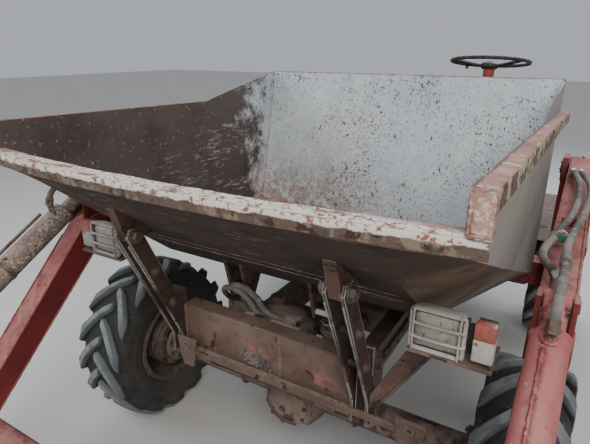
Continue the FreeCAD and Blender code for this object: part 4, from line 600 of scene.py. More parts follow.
class Piece:
    """Gathers solids into one mesh object with several materials."""

    def __init__(self, name, body, slot, *looks, at=(0, 0, 0)):
        self.name = name
        self.body = body
        self.slot = slot
        self.looks = looks
        self.at = at
        self.mesh = bmesh.new()

    def keep(self, faces, look):
        for face in faces:
            face.material_index = look
            face.smooth = True

    def box(self, low, high, look=0, bevel=0.002, turn=None, about=None):
        """A box with rounded edges, turned about a point where asked."""
        made = bmesh.ops.create_cube(self.mesh, size=1)["verts"]
        low, high = Vector(low), Vector(high)
        for vert in made:
            vert.co = (low + high) / 2 + Vector([a * b for a, b in zip(vert.co, high - low)])
        if turn is not None:
            bmesh.ops.rotate(self.mesh, cent=about or (low + high) / 2, matrix=turn, verts=made)
        faces = {face for vert in made for face in vert.link_faces}
        if bevel:
            edges = list({edge for vert in made for edge in vert.link_edges})
            done = bmesh.ops.bevel(self.mesh, geom=edges, offset=bevel, segments=2, affect="EDGES", profile=0.6)
            faces = {face for vert in done["verts"] for face in vert.link_faces}
        self.keep(faces, look)

    def rod(self, start, end, radius, look=0, sides=16, end_radius=None, bevel=0.0):
        """A round bar or cone from one point to another."""
        start, end = Vector(start), Vector(end)
        way = end - start
        long = way.length
        if end_radius is None:
            end_radius = radius
        profile = [(0, 0), (radius - bevel, 0), (radius, bevel), (end_radius, long - bevel),
                   (end_radius - bevel, long), (0, long)]
        if not bevel:
            profile = [(0, 0), (radius, 0), (end_radius, long), (0, long)]
        self.lathe(profile, start, way.normalized(), look, sides)

    def lathe(self, profile, centre, way, look=0, sides=32, closed=False):
        """Turns (radius, height) corners about an axis."""
        turn = Vector(way).to_track_quat("Z", "Y").to_matrix()
        centre = Vector(centre)
        rings = []
        for radius, high in profile:
            if radius <= 1e-6:
                rings.append([self.mesh.verts.new(centre + turn @ Vector((0, 0, high)))])
                continue
            ring = []
            for step in range(sides):
                angle = math.tau * step / sides
                ring.append(self.mesh.verts.new(
                    centre + turn @ Vector((math.cos(angle) * radius, math.sin(angle) * radius, high))))
            rings.append(ring)
        if closed:
            rings.append(rings[0])
        for low, high in zip(rings, rings[1:]):
            self.bridge(low, high, look)

    def bridge(self, low, high, look, around=True):
        """Faces between two rings of points, either of which may be one point."""
        count = max(len(low), len(high))
        faces = []
        for step in range(count if around else count - 1):
            ahead = (step + 1) % count
            corners = [low[step % len(low)], low[ahead % len(low)], high[ahead % len(high)], high[step % len(high)]]
            unique = list(dict.fromkeys(corners))
            if len(unique) > 2:
                faces.append(self.mesh.faces.new(unique))
        self.keep(faces, look)

    def loft(self, rings, look=0, caps=True):
        """Joins rings of points into a closed form."""
        made = [[self.mesh.verts.new(point) for point in ring] for ring in rings]
        for low, high in zip(made, made[1:]):
            self.bridge(low, high, look)
        if caps:
            self.keep([self.mesh.faces.new(made[0][::-1]), self.mesh.faces.new(made[-1])], look)

    def prism(self, outline, axis, low, high, look=0, bevel=0.0):
        """An outline pushed along an axis: x takes (y, z), y takes (x, z), z takes (x, y)."""
        rings = []
        for end in (low, high):
            ring = []
            for a, b in outline:
                ring.append({"x": (end, a, b), "y": (a, end, b), "z": (a, b, end)}[axis])
            rings.append(ring)
        before = set(self.mesh.faces)
        self.loft(rings, look)
        if bevel:
            fresh = [face for face in self.mesh.faces if face not in before]
            edges = list({edge for face in fresh for edge in face.edges})
            done = bmesh.ops.bevel(self.mesh, geom=edges, offset=bevel, segments=2, affect="EDGES", profile=0.6)
            self.keep([face for face in done["faces"] if face.is_valid], look)

    def pipe(self, points, radius, look=0, sides=10, smooth=6):
        """A round tube along a curve through points."""
        line = curve_through([Vector(point) for point in points], smooth)
        self.loft(tube_rings(line, radius, sides), look)

    def bead(self, start, end, radius, look=0, seed=1, step=0.009):
        """A run of weld, uneven along its length."""
        draw = random.Random(seed)
        start, end = Vector(start), Vector(end)
        count = max(3, int((end - start).length / step))
        line = [start.lerp(end, index / count) for index in range(count + 1)]
        rings = tube_rings(line, radius, 7)
        for ring in rings:
            centre = sum(ring, Vector()) / len(ring)
            swell = draw.uniform(0.75, 1.15)
            for index, point in enumerate(ring):
                ring[index] = centre + (point - centre) * swell
        self.loft(rings, look)

    def bolt(self, spot, way, radius=0.011, high=0.008, look=0, washer=True):
        """A hexagon head on a washer, standing on a face."""
        spot, way = Vector(spot), Vector(way).normalized()
        if washer:
            self.rod(spot - way * 0.001, spot + way * 0.0025, radius * 1.55, look, 18)
        profile = [(0, 0), (radius, 0), (radius, high * 0.85), (radius * 0.86, high), (0, high)]
        self.lathe(profile, spot + way * 0.001, way, look, 6)

    def done(self, sharp=32):
        bmesh.ops.recalc_face_normals(self.mesh, faces=self.mesh.faces[:])
        mesh = bpy.data.meshes.new(self.name)
        self.mesh.to_mesh(mesh)
        self.mesh.free()
        mesh.set_sharp_from_angle(angle=math.radians(sharp))
        for look in self.looks:
            mesh.materials.append(look)
        thing = bpy.data.objects.new(self.name, mesh)
        thing.location = self.at
        bpy.context.collection.objects.link(thing)
        if self.body:
            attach(thing, self.body)
        return thing


def curve_through(points, smooth):
    """A smooth line through points, by Catmull and Rom's rule."""
    if smooth < 2 or len(points) < 3:
        return points
    line = []
    for index in range(len(points) - 1):
        before = points[max(index - 1, 0)]
        start, end = points[index], points[index + 1]
        after = points[min(index + 2, len(points) - 1)]
        for step in range(smooth):
            t = step / smooth
            line.append(0.5 * (start * 2 + (end - before) * t
                               + (before * 2 - start * 5 + end * 4 - after) * t * t
                               + (start * 3 - before - end * 3 + after) * t * t * t))
    line.append(points[-1])
    return line


def tube_rings(line, radius, sides):
    """Rings square to a line, each turned as little as can be from the last."""
    rings = []
    side = None
    for index, point in enumerate(line):
        way = (line[min(index + 1, len(line) - 1)] - line[max(index - 1, 0)]).normalized()
        if side is None:
            side = way.orthogonal().normalized()
        side = (side - way * side.dot(way)).normalized()
        up = way.cross(side)
        ring = []
        for step in range(sides):
            angle = math.tau * step / sides
            ring.append(point + (side * math.cos(angle) + up * math.sin(angle)) * radius)
        rings.append(ring)
    return rings


# Wheels

LUGS_A_SIDE = 15
TREAD_HALF = 0.131
# Tyre's section from bead to crown: distance out, radius
CARCASS = (
    (0.103, 0.1945), (0.111, 0.196), (0.1135, 0.204), (0.118, 0.214), (0.1215, 0.2165), (0.1235, 0.221),
    (0.126, 0.236), (0.1285, 0.254), (0.1302, 0.257), (0.1302, 0.261), (0.1292, 0.264), (0.1302, 0.284),
    (0.1296, 0.302), (0.127, 0.318), (0.121, 0.333), (0.108, 0.343), (0.08, 0.349), (0.04, 0.3515), (0.0, 0.352),
)


def carcass_radius(out):
    """Radius of the carcass at a distance out from the tyre's middle."""
    for (x0, r0), (x1, r1) in zip(CARCASS[::-1], CARCASS[::-1][1:]):
        if x0 <= out <= x1:
            return r0 + (r1 - r0) * (out - x0) / (x1 - x0)
    return 0.3


def lug_rings(side, turn):
    """Sections along one tread bar, from the middle out and down the shoulder."""
    # share of the way out, distance out, top radius, half width at the top, half width at the foot
    stations = (
        (-0.03, -0.010, 0.3755, 0.014, 0.022), (0.02, -0.002, 0.3785, 0.0185, 0.027), (0.22, 0.030, 0.379, 0.021, 0.031),
        (0.42, 0.056, 0.3785, 0.023, 0.034), (0.62, 0.082, 0.3775, 0.026, 0.038), (0.8, 0.103, 0.3755, 0.030, 0.043),
        (0.92, 0.118, 0.3715, 0.033, 0.046), (0.985, 0.1270, 0.364, 0.034, 0.046), (1.0, 0.1309, 0.350, 0.032, 0.043),
        (1.01, 0.1316, 0.330, 0.026, 0.034), (1.015, 0.1316, 0.316, 0.018, 0.022),
    )
    rings = []
    for share, out, top, half, foot in stations:
        low = min(carcass_radius(min(out, 0.129)) - 0.004, top - 0.006)
        angle = turn + 0.44 * max(share, 0.0) ** 1.15 + min(share, 0.0) * 0.4
        ring = []
        # across the bar: share of the half width, radius
        for across, radius in ((-foot, low), (-foot * 0.93, low + (top - low) * 0.35), (-half, top - 0.005),
                               (-half + 0.006, top), (half - 0.006, top), (half, top - 0.005),
                               (foot * 0.93, low + (top - low) * 0.35), (foot, low)):
            spot = angle + across / radius
            ring.append(Vector((side * out, -math.sin(spot) * radius, math.cos(spot) * radius)))
        rings.append(ring)
    return rings if side > 0 else [ring[::-1] for ring in rings]


def tyre(name, body, centre, turn):
    """A bias tractor tyre: ribbed sidewalls and two rows of slanting bars."""
    piece = Piece(name + "_tread", body, "tyre", tyre_black, at=centre)
    section = [(radius, out) for out, radius in CARCASS]
    section += [(radius, -out) for out, radius in CARCASS[-2::-1]]
    piece.lathe(section, (0, 0, 0), (1, 0, 0), 0, 96)
    pitch = math.tau / LUGS_A_SIDE
    for index in range(LUGS_A_SIDE):
        piece.loft(lug_rings(1, index * pitch + turn))
        piece.loft(lug_rings(-1, (index + 0.5) * pitch + turn))
    # raised blocks at the foot of the shoulder between the bars
    for index in range(LUGS_A_SIDE):
        for side in SIDES:
            angle = (index + (0.5 if side < 0 else 0.0)) * pitch + turn + 0.40
            ring_low, ring_high = [], []
            for across in (-0.013, 0.013):
                spot = angle + across / 0.31
                for radius, ring in ((0.290, ring_low), (0.306, ring_high)):
                    ring.append(Vector((side * 0.1315, -math.sin(spot) * radius, math.cos(spot) * radius)))
            for across in (0.015, -0.015):
                spot = angle + across / 0.31
                for radius, ring in ((0.286, ring_low), (0.310, ring_high)):
                    ring.append(Vector((side * 0.126, -math.sin(spot) * radius, math.cos(spot) * radius)))
            piece.loft([ring_low, ring_high])
    made = piece.done(40)
    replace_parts(made, name)
    return made


def wheel_fittings(name, body, centre, side):
    """Nuts, hub, pressed rib, rolled rim edges and valve on a wheel's outer face, and drum ribs and bolts on its inner
    side.
    """
    piece = Piece(name + "_fittings", body, "wheel_paint", wheel_paint, steel, at=centre)
    face = 0.030 * side
    out = (side, 0, 0)
    # hub flange and cap
    hub = [(0.0, 0.0), (0.088, 0.0), (0.088, 0.008), (0.066, 0.012), (0.05, 0.022), (0.05, 0.052), (0.045, 0.058),
           (0.0, 0.06)]
    piece.lathe(hub, (face, 0, 0), out, 0, 40)
    for index in range(8):
        angle = math.tau * index / 8 + 0.2
        spot = (face + 0.0005 * side, math.cos(angle) * 0.1, math.sin(angle) * 0.1)
        piece.bolt(spot, out, 0.0125, 0.017, 1)
        stud = Vector(spot) + Vector(out) * 0.017
        piece.rod(stud, stud + Vector(out) * 0.008, 0.0065, 1, 10)
    for index in range(6):
        angle = math.tau * index / 6
        piece.bolt((face + 0.052 * side, math.cos(angle) * 0.036, math.sin(angle) * 0.036), out, 0.005, 0.004, 1, False)
    # pressed rib round the disc, and the rolled edges of the rim
    rib = [(0.140, 0.0), (0.146, 0.006), (0.156, 0.006), (0.162, 0.0)]
    piece.lathe(rib, (face, 0, 0), out, 0, 56)
    for end in SIDES:
        roll = []
        for step in range(9):
            angle = math.tau * step / 8
            roll.append((0.2055 + math.cos(angle) * 0.0045, math.sin(angle) * 0.0045))
        piece.lathe(roll, (0.1145 * end, 0, 0), out, 0, 64)
    # drum's cooling ribs on the inner side
    for step in range(4):
        low = -0.118 + step * 0.026
        ring = [(0.1175, low), (0.123, low + 0.002), (0.123, low + 0.007), (0.1175, low + 0.009)]
        piece.lathe(ring, (0, 0, 0), out, 0, 48)
    for index in range(6):
        angle = math.tau * index / 6 + 0.5
        spot = (-0.135 * side, math.cos(angle) * 0.086, math.sin(angle) * 0.086)
        piece.bolt(spot, (-side, 0, 0), 0.008, 0.006, 1)
    # valve stem, leaning outwards
    piece.rod((0.06 * side, 0.0, 0.186), (0.098 * side, 0.0, 0.170), 0.005, 1, 10)
    piece.rod((0.095 * side, 0.0, 0.1715), (0.103 * side, 0.0, 0.168), 0.0062, 1, 10)
    return piece.done()


WHEELS = (
    # name, side, row y
    ("front_left", 1, -0.2375),
    ("front_right", -1, -0.2375),
    ("rear_left", 1, 1.5625),
    ("rear_right", -1, 1.5625),
)


# Lamps

def rounded(centre, wide, high, corner, y, steps=4):
    """A rounded rectangle of points facing along Y."""
    ring = []
    for index, (sx, sz) in enumerate(((1, 1), (-1, 1), (-1, -1), (1, -1))):
        for step in range(steps + 1):
            angle = math.pi / 2 * (index + step / steps)
            ring.append(Vector((
                centre[0] + sx * (wide / 2 - corner) + math.cos(angle) * corner, y,
                centre[1] + sz * (high / 2 - corner) + math.sin(angle) * corner)))
    return ring


def headlamp(name, side):
    """Bowl, bezel, domed lens, wire guard and a side lamp of two colours."""
    low, high = (Vector(corner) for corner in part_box(name))
    piece = Piece(name + "_shell", "chassis", "lamp_plastic", lamp_white, lamp_lens, orange_lens, black_plastic, steel)
    inner = low.x if side > 0 else high.x
    wide = 0.142
    mid = (inner + side * 0.0725, (low.z + high.z) / 2 + 0.001)
    tall = high.z - low.z - 0.004
    face = low.y + 0.001
    # bowl, from the bezel back to its flat rear
    bowl = []
    for back, share in ((0.012, 0.97), (0.028, 0.95), (0.05, 0.86), (0.068, 0.7), (0.076, 0.6)):
        bowl.append(rounded(mid, wide * share, tall * share, 0.014, face + back))
    piece.loft(bowl, 0)
    # bezel: a rolled frame round the lens
    frame_rings = []
    for back, out in ((0.014, 0.0), (0.004, 0.0), (0.0, -0.003), (0.0, -0.007), (0.003, -0.010), (0.010, -0.0105)):
        frame_rings.append(rounded(mid, wide + out * 2, tall + out * 2, 0.014 + out * 0.5, face + back))
    piece.loft(frame_rings, 0, caps=False)
    # dark ring sunk in the gap between bezel and lens: painted shade of that gap
    seal = [rounded(mid, wide - 0.019, tall - 0.019, 0.009, face + 0.0085),
            rounded(mid, wide - 0.030, tall - 0.030, 0.008, face + 0.0085)]
    piece.loft(seal, 3, caps=False)
    # domed lens
    dome = []
    for share in (0.99, 0.9, 0.75, 0.55, 0.3, 0.08):
        lift = 0.012 * (1 - share ** 2.4)
        dome.append(rounded(mid, (wide - 0.029) * share, (tall - 0.029) * share, 0.012 * share + 0.001,
                            face + 0.010 - lift))
    piece.loft(dome, 1)
    # guard: two level wires and two upright ones, hooked over the bezel
    reach_x, reach_z = wide / 2 - 0.004, tall / 2 - 0.004
    for share in (0.34, -0.30):
        z = mid[1] + share * tall / 2
        row = [(mid[0] - reach_x - 0.001, face + 0.012, z), (mid[0] - reach_x, face - 0.001, z)]
        for step in (-0.6, -0.2, 0.2, 0.6):
            row.append((mid[0] + step * reach_x, face - 0.0065 + abs(step) ** 3 * 0.004, z))
        row += [(mid[0] + reach_x, face - 0.001, z), (mid[0] + reach_x + 0.001, face + 0.012, z)]
        piece.pipe(row, 0.0040, 0, 8, 3)
    for share in (-0.86, 0.86):
        x = mid[0] + share * reach_x
        column = [(x, face + 0.010, mid[1] + reach_z + 0.002), (x, face - 0.001, mid[1] + reach_z)]
        column += [(x, face - 0.0035, mid[1] + step * reach_z) for step in (0.5, 0.0, -0.5)]
        column += [(x, face - 0.001, mid[1] - reach_z), (x, face + 0.010, mid[1] - reach_z - 0.001)]
        piece.pipe(column, 0.0030, 0, 8, 3)
    # side lamp outboard: base, white lens with an orange one over it
    outer = high.x if side > 0 else low.x
    edge = inner + side * 0.1455
    x_low, x_high = min(edge, outer), max(edge, outer)
    base_low, base_high = low.z + 0.012, high.z - 0.02
    split = base_low + (base_high - base_low) * 0.6
    clear = inner + side * 0.158
    x_low, x_high = min(clear, outer), max(clear, outer)
    base_high = high.z - 0.012
    split = base_low + (base_high - base_low) * 0.58
    piece.box((x_low + 0.004, face + 0.030, base_low + 0.004), (x_high - 0.004, face + 0.060, base_high - 0.004), 3, 0.003)
    piece.box((x_low, face + 0.010, base_low), (x_high, face + 0.040, split + 0.001), 0, 0.005)
    piece.box((x_low + 0.0006, face + 0.0105, split), (x_high - 0.0006, face + 0.0395, base_high), 2, 0.005)
    # black strip set back in the gap between bowl and side lamp: painted shade of that gap
    piece.box((min(edge, clear) - 0.001, face + 0.026, base_low + 0.010), (max(edge, clear) + 0.001, face + 0.052, base_high - 0.02),
              3, 0.002)
    # black clip over the corner, bowl's screws and the lead's boot
    clip_x = inner + side * 0.136
    piece.box((clip_x - 0.006, face + 0.012, mid[1] + 0.01), (clip_x + 0.010, face + 0.034, mid[1] + 0.052), 3, 0.002)
    for sx in SIDES:
        for sz in SIDES:
            spot = (mid[0] + sx * (wide / 2 - 0.008), face - 0.0002, mid[1] + sz * (tall / 2 - 0.008))
            piece.rod(spot, Vector(spot) + Vector((0, -0.0015, 0)), 0.0035, 4, 10)
    piece.rod((mid[0], face + 0.075, mid[1]), (mid[0], face + 0.0765, mid[1]), 0.012, 3, 14)
    made = piece.done(38)
    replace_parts(made, name)


def lamp_bracket_fittings(side):
    """Bolts below each lamp, and welds where its arm meets the post."""
    piece = Piece(f"lamp_bracket_fittings_{'left' if side > 0 else 'right'}", "chassis", "bare_steel",
                  steel, bracket_paint)
    for x in (0.60, 0.668):
        piece.bolt((x * side, -0.60, 0.9993), (0, 0, -1), 0.009, 0.008, 0)
    piece.bead((0.4155 * side, -0.5205, 0.66), (0.4155 * side, -0.5205, 0.714), 0.004, 1, 3)
    piece.bead((0.418 * side, -0.5065, 0.66), (0.418 * side, -0.5065, 0.714), 0.004, 1, 4)
    # a stiffening lip along the arm's lower edge
    piece.pipe([(0.43 * side, -0.5125, 0.668), (0.52 * side, -0.5125, 0.812), (0.61 * side, -0.5125, 0.957)],
               0.006, 1, 8, 1)
    piece.done()


# Front frame

def front_frame_details():
    """Welds, the beam's joint, caked dirt, bolts and the joints of the posts."""
    piece = Piece("front_frame_details", "chassis", "chassis_paint", frame_paint, post_paint, steel, dirt_look)
    face = -0.5195
    # the beam's face is two plates, met at an upright weld
    piece.box((0.078, face - 0.004, 0.642), (0.350, face + 0.001, 0.816), 0, 0.0015)
    piece.bead((0.076, face - 0.003, 0.642), (0.076, face - 0.003, 0.816), 0.0055, 0, 5)
    piece.bead((-0.35, face - 0.002, 0.642), (0.35, face - 0.002, 0.642), 0.005, 0, 6)
    for side in SIDES:
        piece.bead((0.3505 * side, face - 0.001, 0.64), (0.3505 * side, face - 0.001, 0.818), 0.0045, 0, 7)
        piece.bead((0.3505 * side, -0.4600, 0.63), (0.3505 * side, -0.4600, 0.818), 0.0045, 0, 8)
    piece.bead((-0.35, -0.5405, 0.6575), (0.35, -0.5405, 0.6575), 0.003, 0, 9)
    # small studs on the right plate
    for x, z in ((0.135, 0.69), (0.205, 0.695), (0.262, 0.676), (0.31, 0.674)):
        piece.rod((x, face - 0.0035, z), (x, face - 0.008, z), 0.0065, 2, 12)
    # caked grease and grit low on the beam
    draw = random.Random(11)
    for index in range(150):
        x = draw.gauss(-0.022, 0.027)
        z = draw.gauss(0.678, 0.016)
        size = draw.uniform(0.0025, 0.0085)
        if z < 0.648 or z > 0.75:
            continue
        spot = Vector((x, face - size * 0.2, z))
        profile = [(0, -size), (size * 0.8, -size * 0.6), (size, 0), (size * 0.75, size * 0.55), (0, size * 0.8)]
        way = Vector((draw.uniform(-0.4, 0.4), -1, draw.uniform(-0.4, 0.4))).normalized()
        piece.lathe(profile, spot, way, 3, draw.choice((5, 6, 7)))
    # posts: pins' washers, nuts and ends, and spacers between the plates
    for side in SIDES:
        for x, way in ((0.344 * side, -side), (0.423 * side, side)):
            spot = Vector((x, -0.7155, 1.160))
            piece.rod(spot - Vector((way * 0.006, 0, 0)), spot - Vector((way * 0.002, 0, 0)), 0.027, 2, 24)
            piece.lathe([(0, 0), (0.0215, 0), (0.0215, 0.010), (0.018, 0.013), (0, 0.013)],
                        spot - Vector((way * 0.002, 0, 0)), (way, 0, 0), 2, 6)
            piece.rod(spot, spot + Vector((way * 0.016, 0, 0)), 0.010, 2, 14)
        for share in (0.36, 0.68):
            y, z = -0.5045 - 0.211 * share, 0.683 + 0.477 * share
            piece.rod((0.3515 * side, y, z), (0.4155 * side, y, z), 0.010, 1, 14)
            piece.bolt((0.3515 * side, y, z), (-side, 0, 0), 0.012, 0.009, 2)
            piece.bolt((0.4155 * side, y, z), (side, 0, 0), 0.012, 0.009, 2)
        # flat strips that stiffen the posts' front edges
        for x in (0.357 * side, 0.410 * side):
            piece.bead((x, -0.539, 0.69), (x, -0.7425, 1.13), 0.0028, 1, 12)
    # rounds welded under each lug's hole
    for x in (-0.318, 0.556):
        ring = [(0.0085, 0.0), (0.016, 0.0), (0.016, 0.004), (0.0085, 0.004)]
        piece.lathe(ring, (x, -0.5612, 0.669), (0, -1, 0), 0, 20, closed=True)
        piece.bead((x - 0.045, -0.5505, 0.6585), (x + 0.045, -0.5505, 0.6585), 0.003, 0, 13)
    piece.done()


def axle_details():
    """Covers, bolts, breathers, drain plugs and clamps on both axles."""
    piece = Piece("axle_details", "chassis", "axle_casting", iron, steel, pipe_rust)
    for y, way, radius in ((-0.2375, -1, 0.13), (1.5625, 1, 0.122)):
        # round cover with its ring of bolts
        start = y + way * (radius - 0.022)
        cover = [(0.0, 0.0), (0.094, 0.0), (0.094, 0.014), (0.082, 0.019), (0.06, 0.034), (0.03, 0.042), (0.0, 0.044)]
        piece.lathe(cover, (0, start, 0.38), (0, way, 0), 0, 40)
        for index in range(10):
            angle = math.tau * index / 10 + 0.15
            spot = (math.cos(angle) * 0.086, start + way * 0.0165, 0.38 + math.sin(angle) * 0.086)
            piece.bolt(spot, (0, way, 0), 0.0065, 0.007, 1)
        piece.bolt((0, start + way * 0.043, 0.38), (0, way, 0), 0.010, 0.009, 1)
        piece.bolt((0.03, y, 0.38 - radius + 0.0005), (0, 0, -1), 0.012, 0.008, 1)
        piece.rod((0.05, y + 0.02, 0.38 + radius - 0.004), (0.05, y + 0.02, 0.38 + radius + 0.022), 0.006, 1, 10)
        piece.rod((0.05, y + 0.02, 0.38 + radius + 0.018), (0.05, y + 0.02, 0.38 + radius + 0.028), 0.009, 1, 12)
        # ribs on the housing's waist
        for x in (-0.1, 0.1):
            ring = [(0.096, -0.004), (0.102, -0.003), (0.102, 0.003), (0.096, 0.004)]
            piece.lathe(ring, (x, y, 0.38), (1, 0, 0), 0, 48, closed=True)
        # clamps round the tube under each rail
        for side in SIDES:
            for end in SIDES:
                spot_y = y + end * 0.036
                x = 0.265 * side
                piece.pipe([(x, spot_y + end * 0.026, 0.44), (x, spot_y + end * 0.026, 0.38), (x, spot_y + end * 0.008, 0.335),
                            (x, spot_y - end * 0.02, 0.319)], 0.007, 1, 8, 4)
            piece.box((x - 0.034, y - 0.075, 0.432), (x + 0.034, y + 0.075, 0.446), 0, 0.003)
            for end in SIDES:
                piece.bolt((x + 0.018, y + end * 0.062, 0.446), (0, 0, 1), 0.009, 0.009, 1)
                piece.bolt((x - 0.018, y + end * 0.062, 0.446), (0, 0, 1), 0.009, 0.009, 1)
    # flange bolts at the ends of the front axle's tubes
    for side in SIDES:
        for index in range(8):
            angle = math.tau * (index + 0.5) / 8
            spot = (0.674 * side, -0.2375 + math.cos(angle) * 0.077, 0.38 + math.sin(angle) * 0.077)
            piece.bolt(spot, (-side, 0, 0), 0.0075, 0.008, 1)
    # joints on the drive shafts
    for y in (0.06, 0.35, 0.93, 1.28):
        yoke = [(0.0, -0.03), (0.040, -0.03), (0.044, -0.02), (0.044, 0.02), (0.040, 0.03), (0.0, 0.03)]
        piece.lathe(yoke, (0, y, 0.38), (0, 1, 0), 0, 20)
        for index in range(4):
            angle = math.tau * index / 4
            out = Vector((math.cos(angle), 0, math.sin(angle)))
            piece.rod(Vector((0, y, 0.38)) + out * 0.036, Vector((0, y, 0.38)) + out * 0.052, 0.013, 1, 14)
    piece.done()


def ram_lines():
    """Two pipes that arch over the front axle to the tipping rams, and their valve."""
    piece = Piece("tipping_ram_lines", "chassis", "bare_steel", hose_grey, steel, iron)
    for shift, lift in ((0.0, 0.0), (0.034, 0.018)):
        route = [(-0.335 + shift, -0.215, 0.70 + lift), (-0.305 + shift, -0.31, 0.765 + lift), (-0.262 + shift, -0.39, 0.838 + lift),
                 (-0.212 + shift, -0.436, 0.886 + lift), (-0.160 + shift, -0.444, 0.896 + lift),
                 (-0.108 + shift, -0.443, 0.868 + lift), (-0.068 + shift, -0.438, 0.820 + lift),
                 (-0.012 + shift, -0.428, 0.800 + lift), (0.030 + shift, -0.405, 0.806)]
        piece.pipe(route, 0.0115, 0, 12, 6)
        for spot, way in ((route[0], (0.3, -0.6, 0.7)), (route[-1], (-0.8, -0.45, 0.0))):
            spot, way = Vector(spot), Vector(way).normalized()
            piece.rod(spot - way * 0.012, spot + way * 0.030, 0.0135, 1, 6)
            piece.rod(spot - way * 0.004, spot + way * 0.004, 0.017, 1, 6)
    # a rounded valve casting on a flange at the back of the beam
    rings = []
    for wide, tall, corner, y in ((0.250, 0.186, 0.02, -0.4593), (0.250, 0.186, 0.02, -0.447), (0.205, 0.160, 0.04, -0.444),
                                  (0.232, 0.178, 0.07, -0.410), (0.240, 0.186, 0.08, -0.350), (0.205, 0.160, 0.07, -0.290),
                                  (0.120, 0.100, 0.045, -0.255), (0.060, 0.050, 0.02, -0.250)):
        rings.append(rounded((0.0, 0.730), wide, tall, corner, y))
    piece.loft(rings, 2)
    for x in (-0.112, 0.0, 0.112):
        for z in (0.650, 0.810):
            piece.bolt((x, -0.447, z), (0, 1, 0), 0.007, 0.007, 1)
    piece.lathe([(0, 0), (0.024, 0), (0.024, 0.020), (0.030, 0.021), (0.030, 0.034), (0.024, 0.038), (0, 0.038)],
                (-0.045, -0.335, 0.815), (0, 0, 1), 1, 24)
    piece.box((0.015, -0.425, 0.795), (0.095, -0.375, 0.826), 2, 0.005)
    piece.box((-0.375, -0.235, 0.627), (-0.270, -0.175, 0.700), 2, 0.004)
    # valve with three spools beside the gearbox
    piece.box((-0.12, -0.15, 0.60), (0.12, -0.06, 0.668), 2, 0.004)
    for x in (-0.08, 0.0, 0.08):
        piece.rod((x, -0.165, 0.636), (x, -0.045, 0.636), 0.016, 1, 16)
    piece.done()


# Skip

LIP_CENTRE = 4.2495
LIP_RADIUS = 5.216


def half_inside(y):
    """Half width between the skip's side walls at a place along the machine."""
    return 0.706 + 0.01775 * (y + 0.9665)


def rounded_iron(wide, deep, thick, corner):
    """Section of a worn angle iron: (out, up) from its inner top edge."""
    points = [(0.0, 0.0)]
    for step in range(6):
        angle = math.pi / 2 * (1 - step / 5)
        points.append((wide - corner + math.cos(angle) * corner, -corner + math.sin(angle) * corner))
    points += [(wide, -deep + 0.002), (wide - 0.002, -deep), (wide - thick + 0.002, -deep), (wide - thick, -deep + 0.002)]
    inner = max(corner - thick, 0.002)
    for step in range(4):
        angle = math.pi / 2 * (step / 3)
        points.append((wide - thick - inner + math.cos(angle) * inner, -thick - inner + math.sin(angle) * inner))
    points += [(0.001, -thick), (0.0, -thick + 0.001)]
    return points


def skip_rim():
    """The lip and both side irons, with rolled corners, dents and waves."""
    piece = Piece("skip_rim_iron", "skip", "rim_paint", rim_rust)
    draw = random.Random(5)

    def wave(along, phase, size):
        return size * (math.sin(along * 9.1 + phase) * 0.5 + math.sin(along * 23.0 + phase * 2) * 0.3
                       + math.sin(along * 51.0 + phase * 3) * 0.2)

    section = rounded_iron(0.0475, 0.040, 0.006, 0.0095)
    rings = []
    count = 90
    for index in range(count + 1):
        x = -0.7505 + 1.501 * index / count
        dent = 0.0035 * math.exp(-((x - 0.31) / 0.035) ** 2) + 0.003 * math.exp(-((x + 0.22) / 0.05) ** 2)
        ring = []
        for out, up in section:
            reach = LIP_RADIUS - 0.0355 + out + wave(x, 0.7, 0.0009) - dent * (1 if out > 0.03 else 0.3)
            drop = wave(x, 2.1, 0.0008) - dent * 0.6 - draw.uniform(0, 0.0003)
            y = LIP_CENTRE - math.sqrt(reach * reach - x * x)
            ring.append(Vector((x, y, 1.4425 + up + drop)))
        rings.append(ring)
    piece.loft(rings, 0)
    for side in SIDES:
        section = rounded_iron(0.0385, 0.045, 0.006, 0.0085)
        rings = []
        stations = ((-0.9185, 1.527), (0.1055, 1.498), (0.7235, 1.480))
        for (y0, z0), (y1, z1) in zip(stations, stations[1:]):
            for step in range(30):
                share = step / 30
                rings.append((y0 + (y1 - y0) * share, z0 + (z1 - z0) * share))
        rings.append(stations[-1])
        made = []
        for y, z in rings:
            ring = []
            for out, up in section:
                bump = wave(y, 1.3 + side, 0.0011) * (1 if out > 0.02 else 0.3)
                x = half_inside(y) + 0.0065 + out + bump
                ring.append(Vector((x * side, y, z - 0.0005 + up + wave(y, 3.1 + side, 0.0012))))
            made.append(ring)
        piece.loft(made, 0)
        # riser plate at the corner, its weld and the iron's cut end
        low_x, high_x = half_inside(-0.9185) + 0.0065, half_inside(-0.9185) + 0.0445
        piece.box((min(low_x * side, high_x * side), -0.9282, 1.438), (max(low_x * side, high_x * side), -0.9188, 1.5262),
                  0, 0.0035)
        piece.bead((low_x * side, -0.930, 1.4445), (high_x * side, -0.930, 1.4445), 0.0045, 0, 21)
        piece.bead((low_x * side, -0.9290, 1.4455), (low_x * side, -0.9290, 1.5200), 0.0035, 0, 22)
        piece.bead(((half_inside(-0.9) + 0.008) * side, -0.90, 1.4815), ((half_inside(0.70) + 0.008) * side, 0.70, 1.4395),
                   0.003, 0, 23, 0.02)
    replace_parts(piece.done(42), "skip_rim")


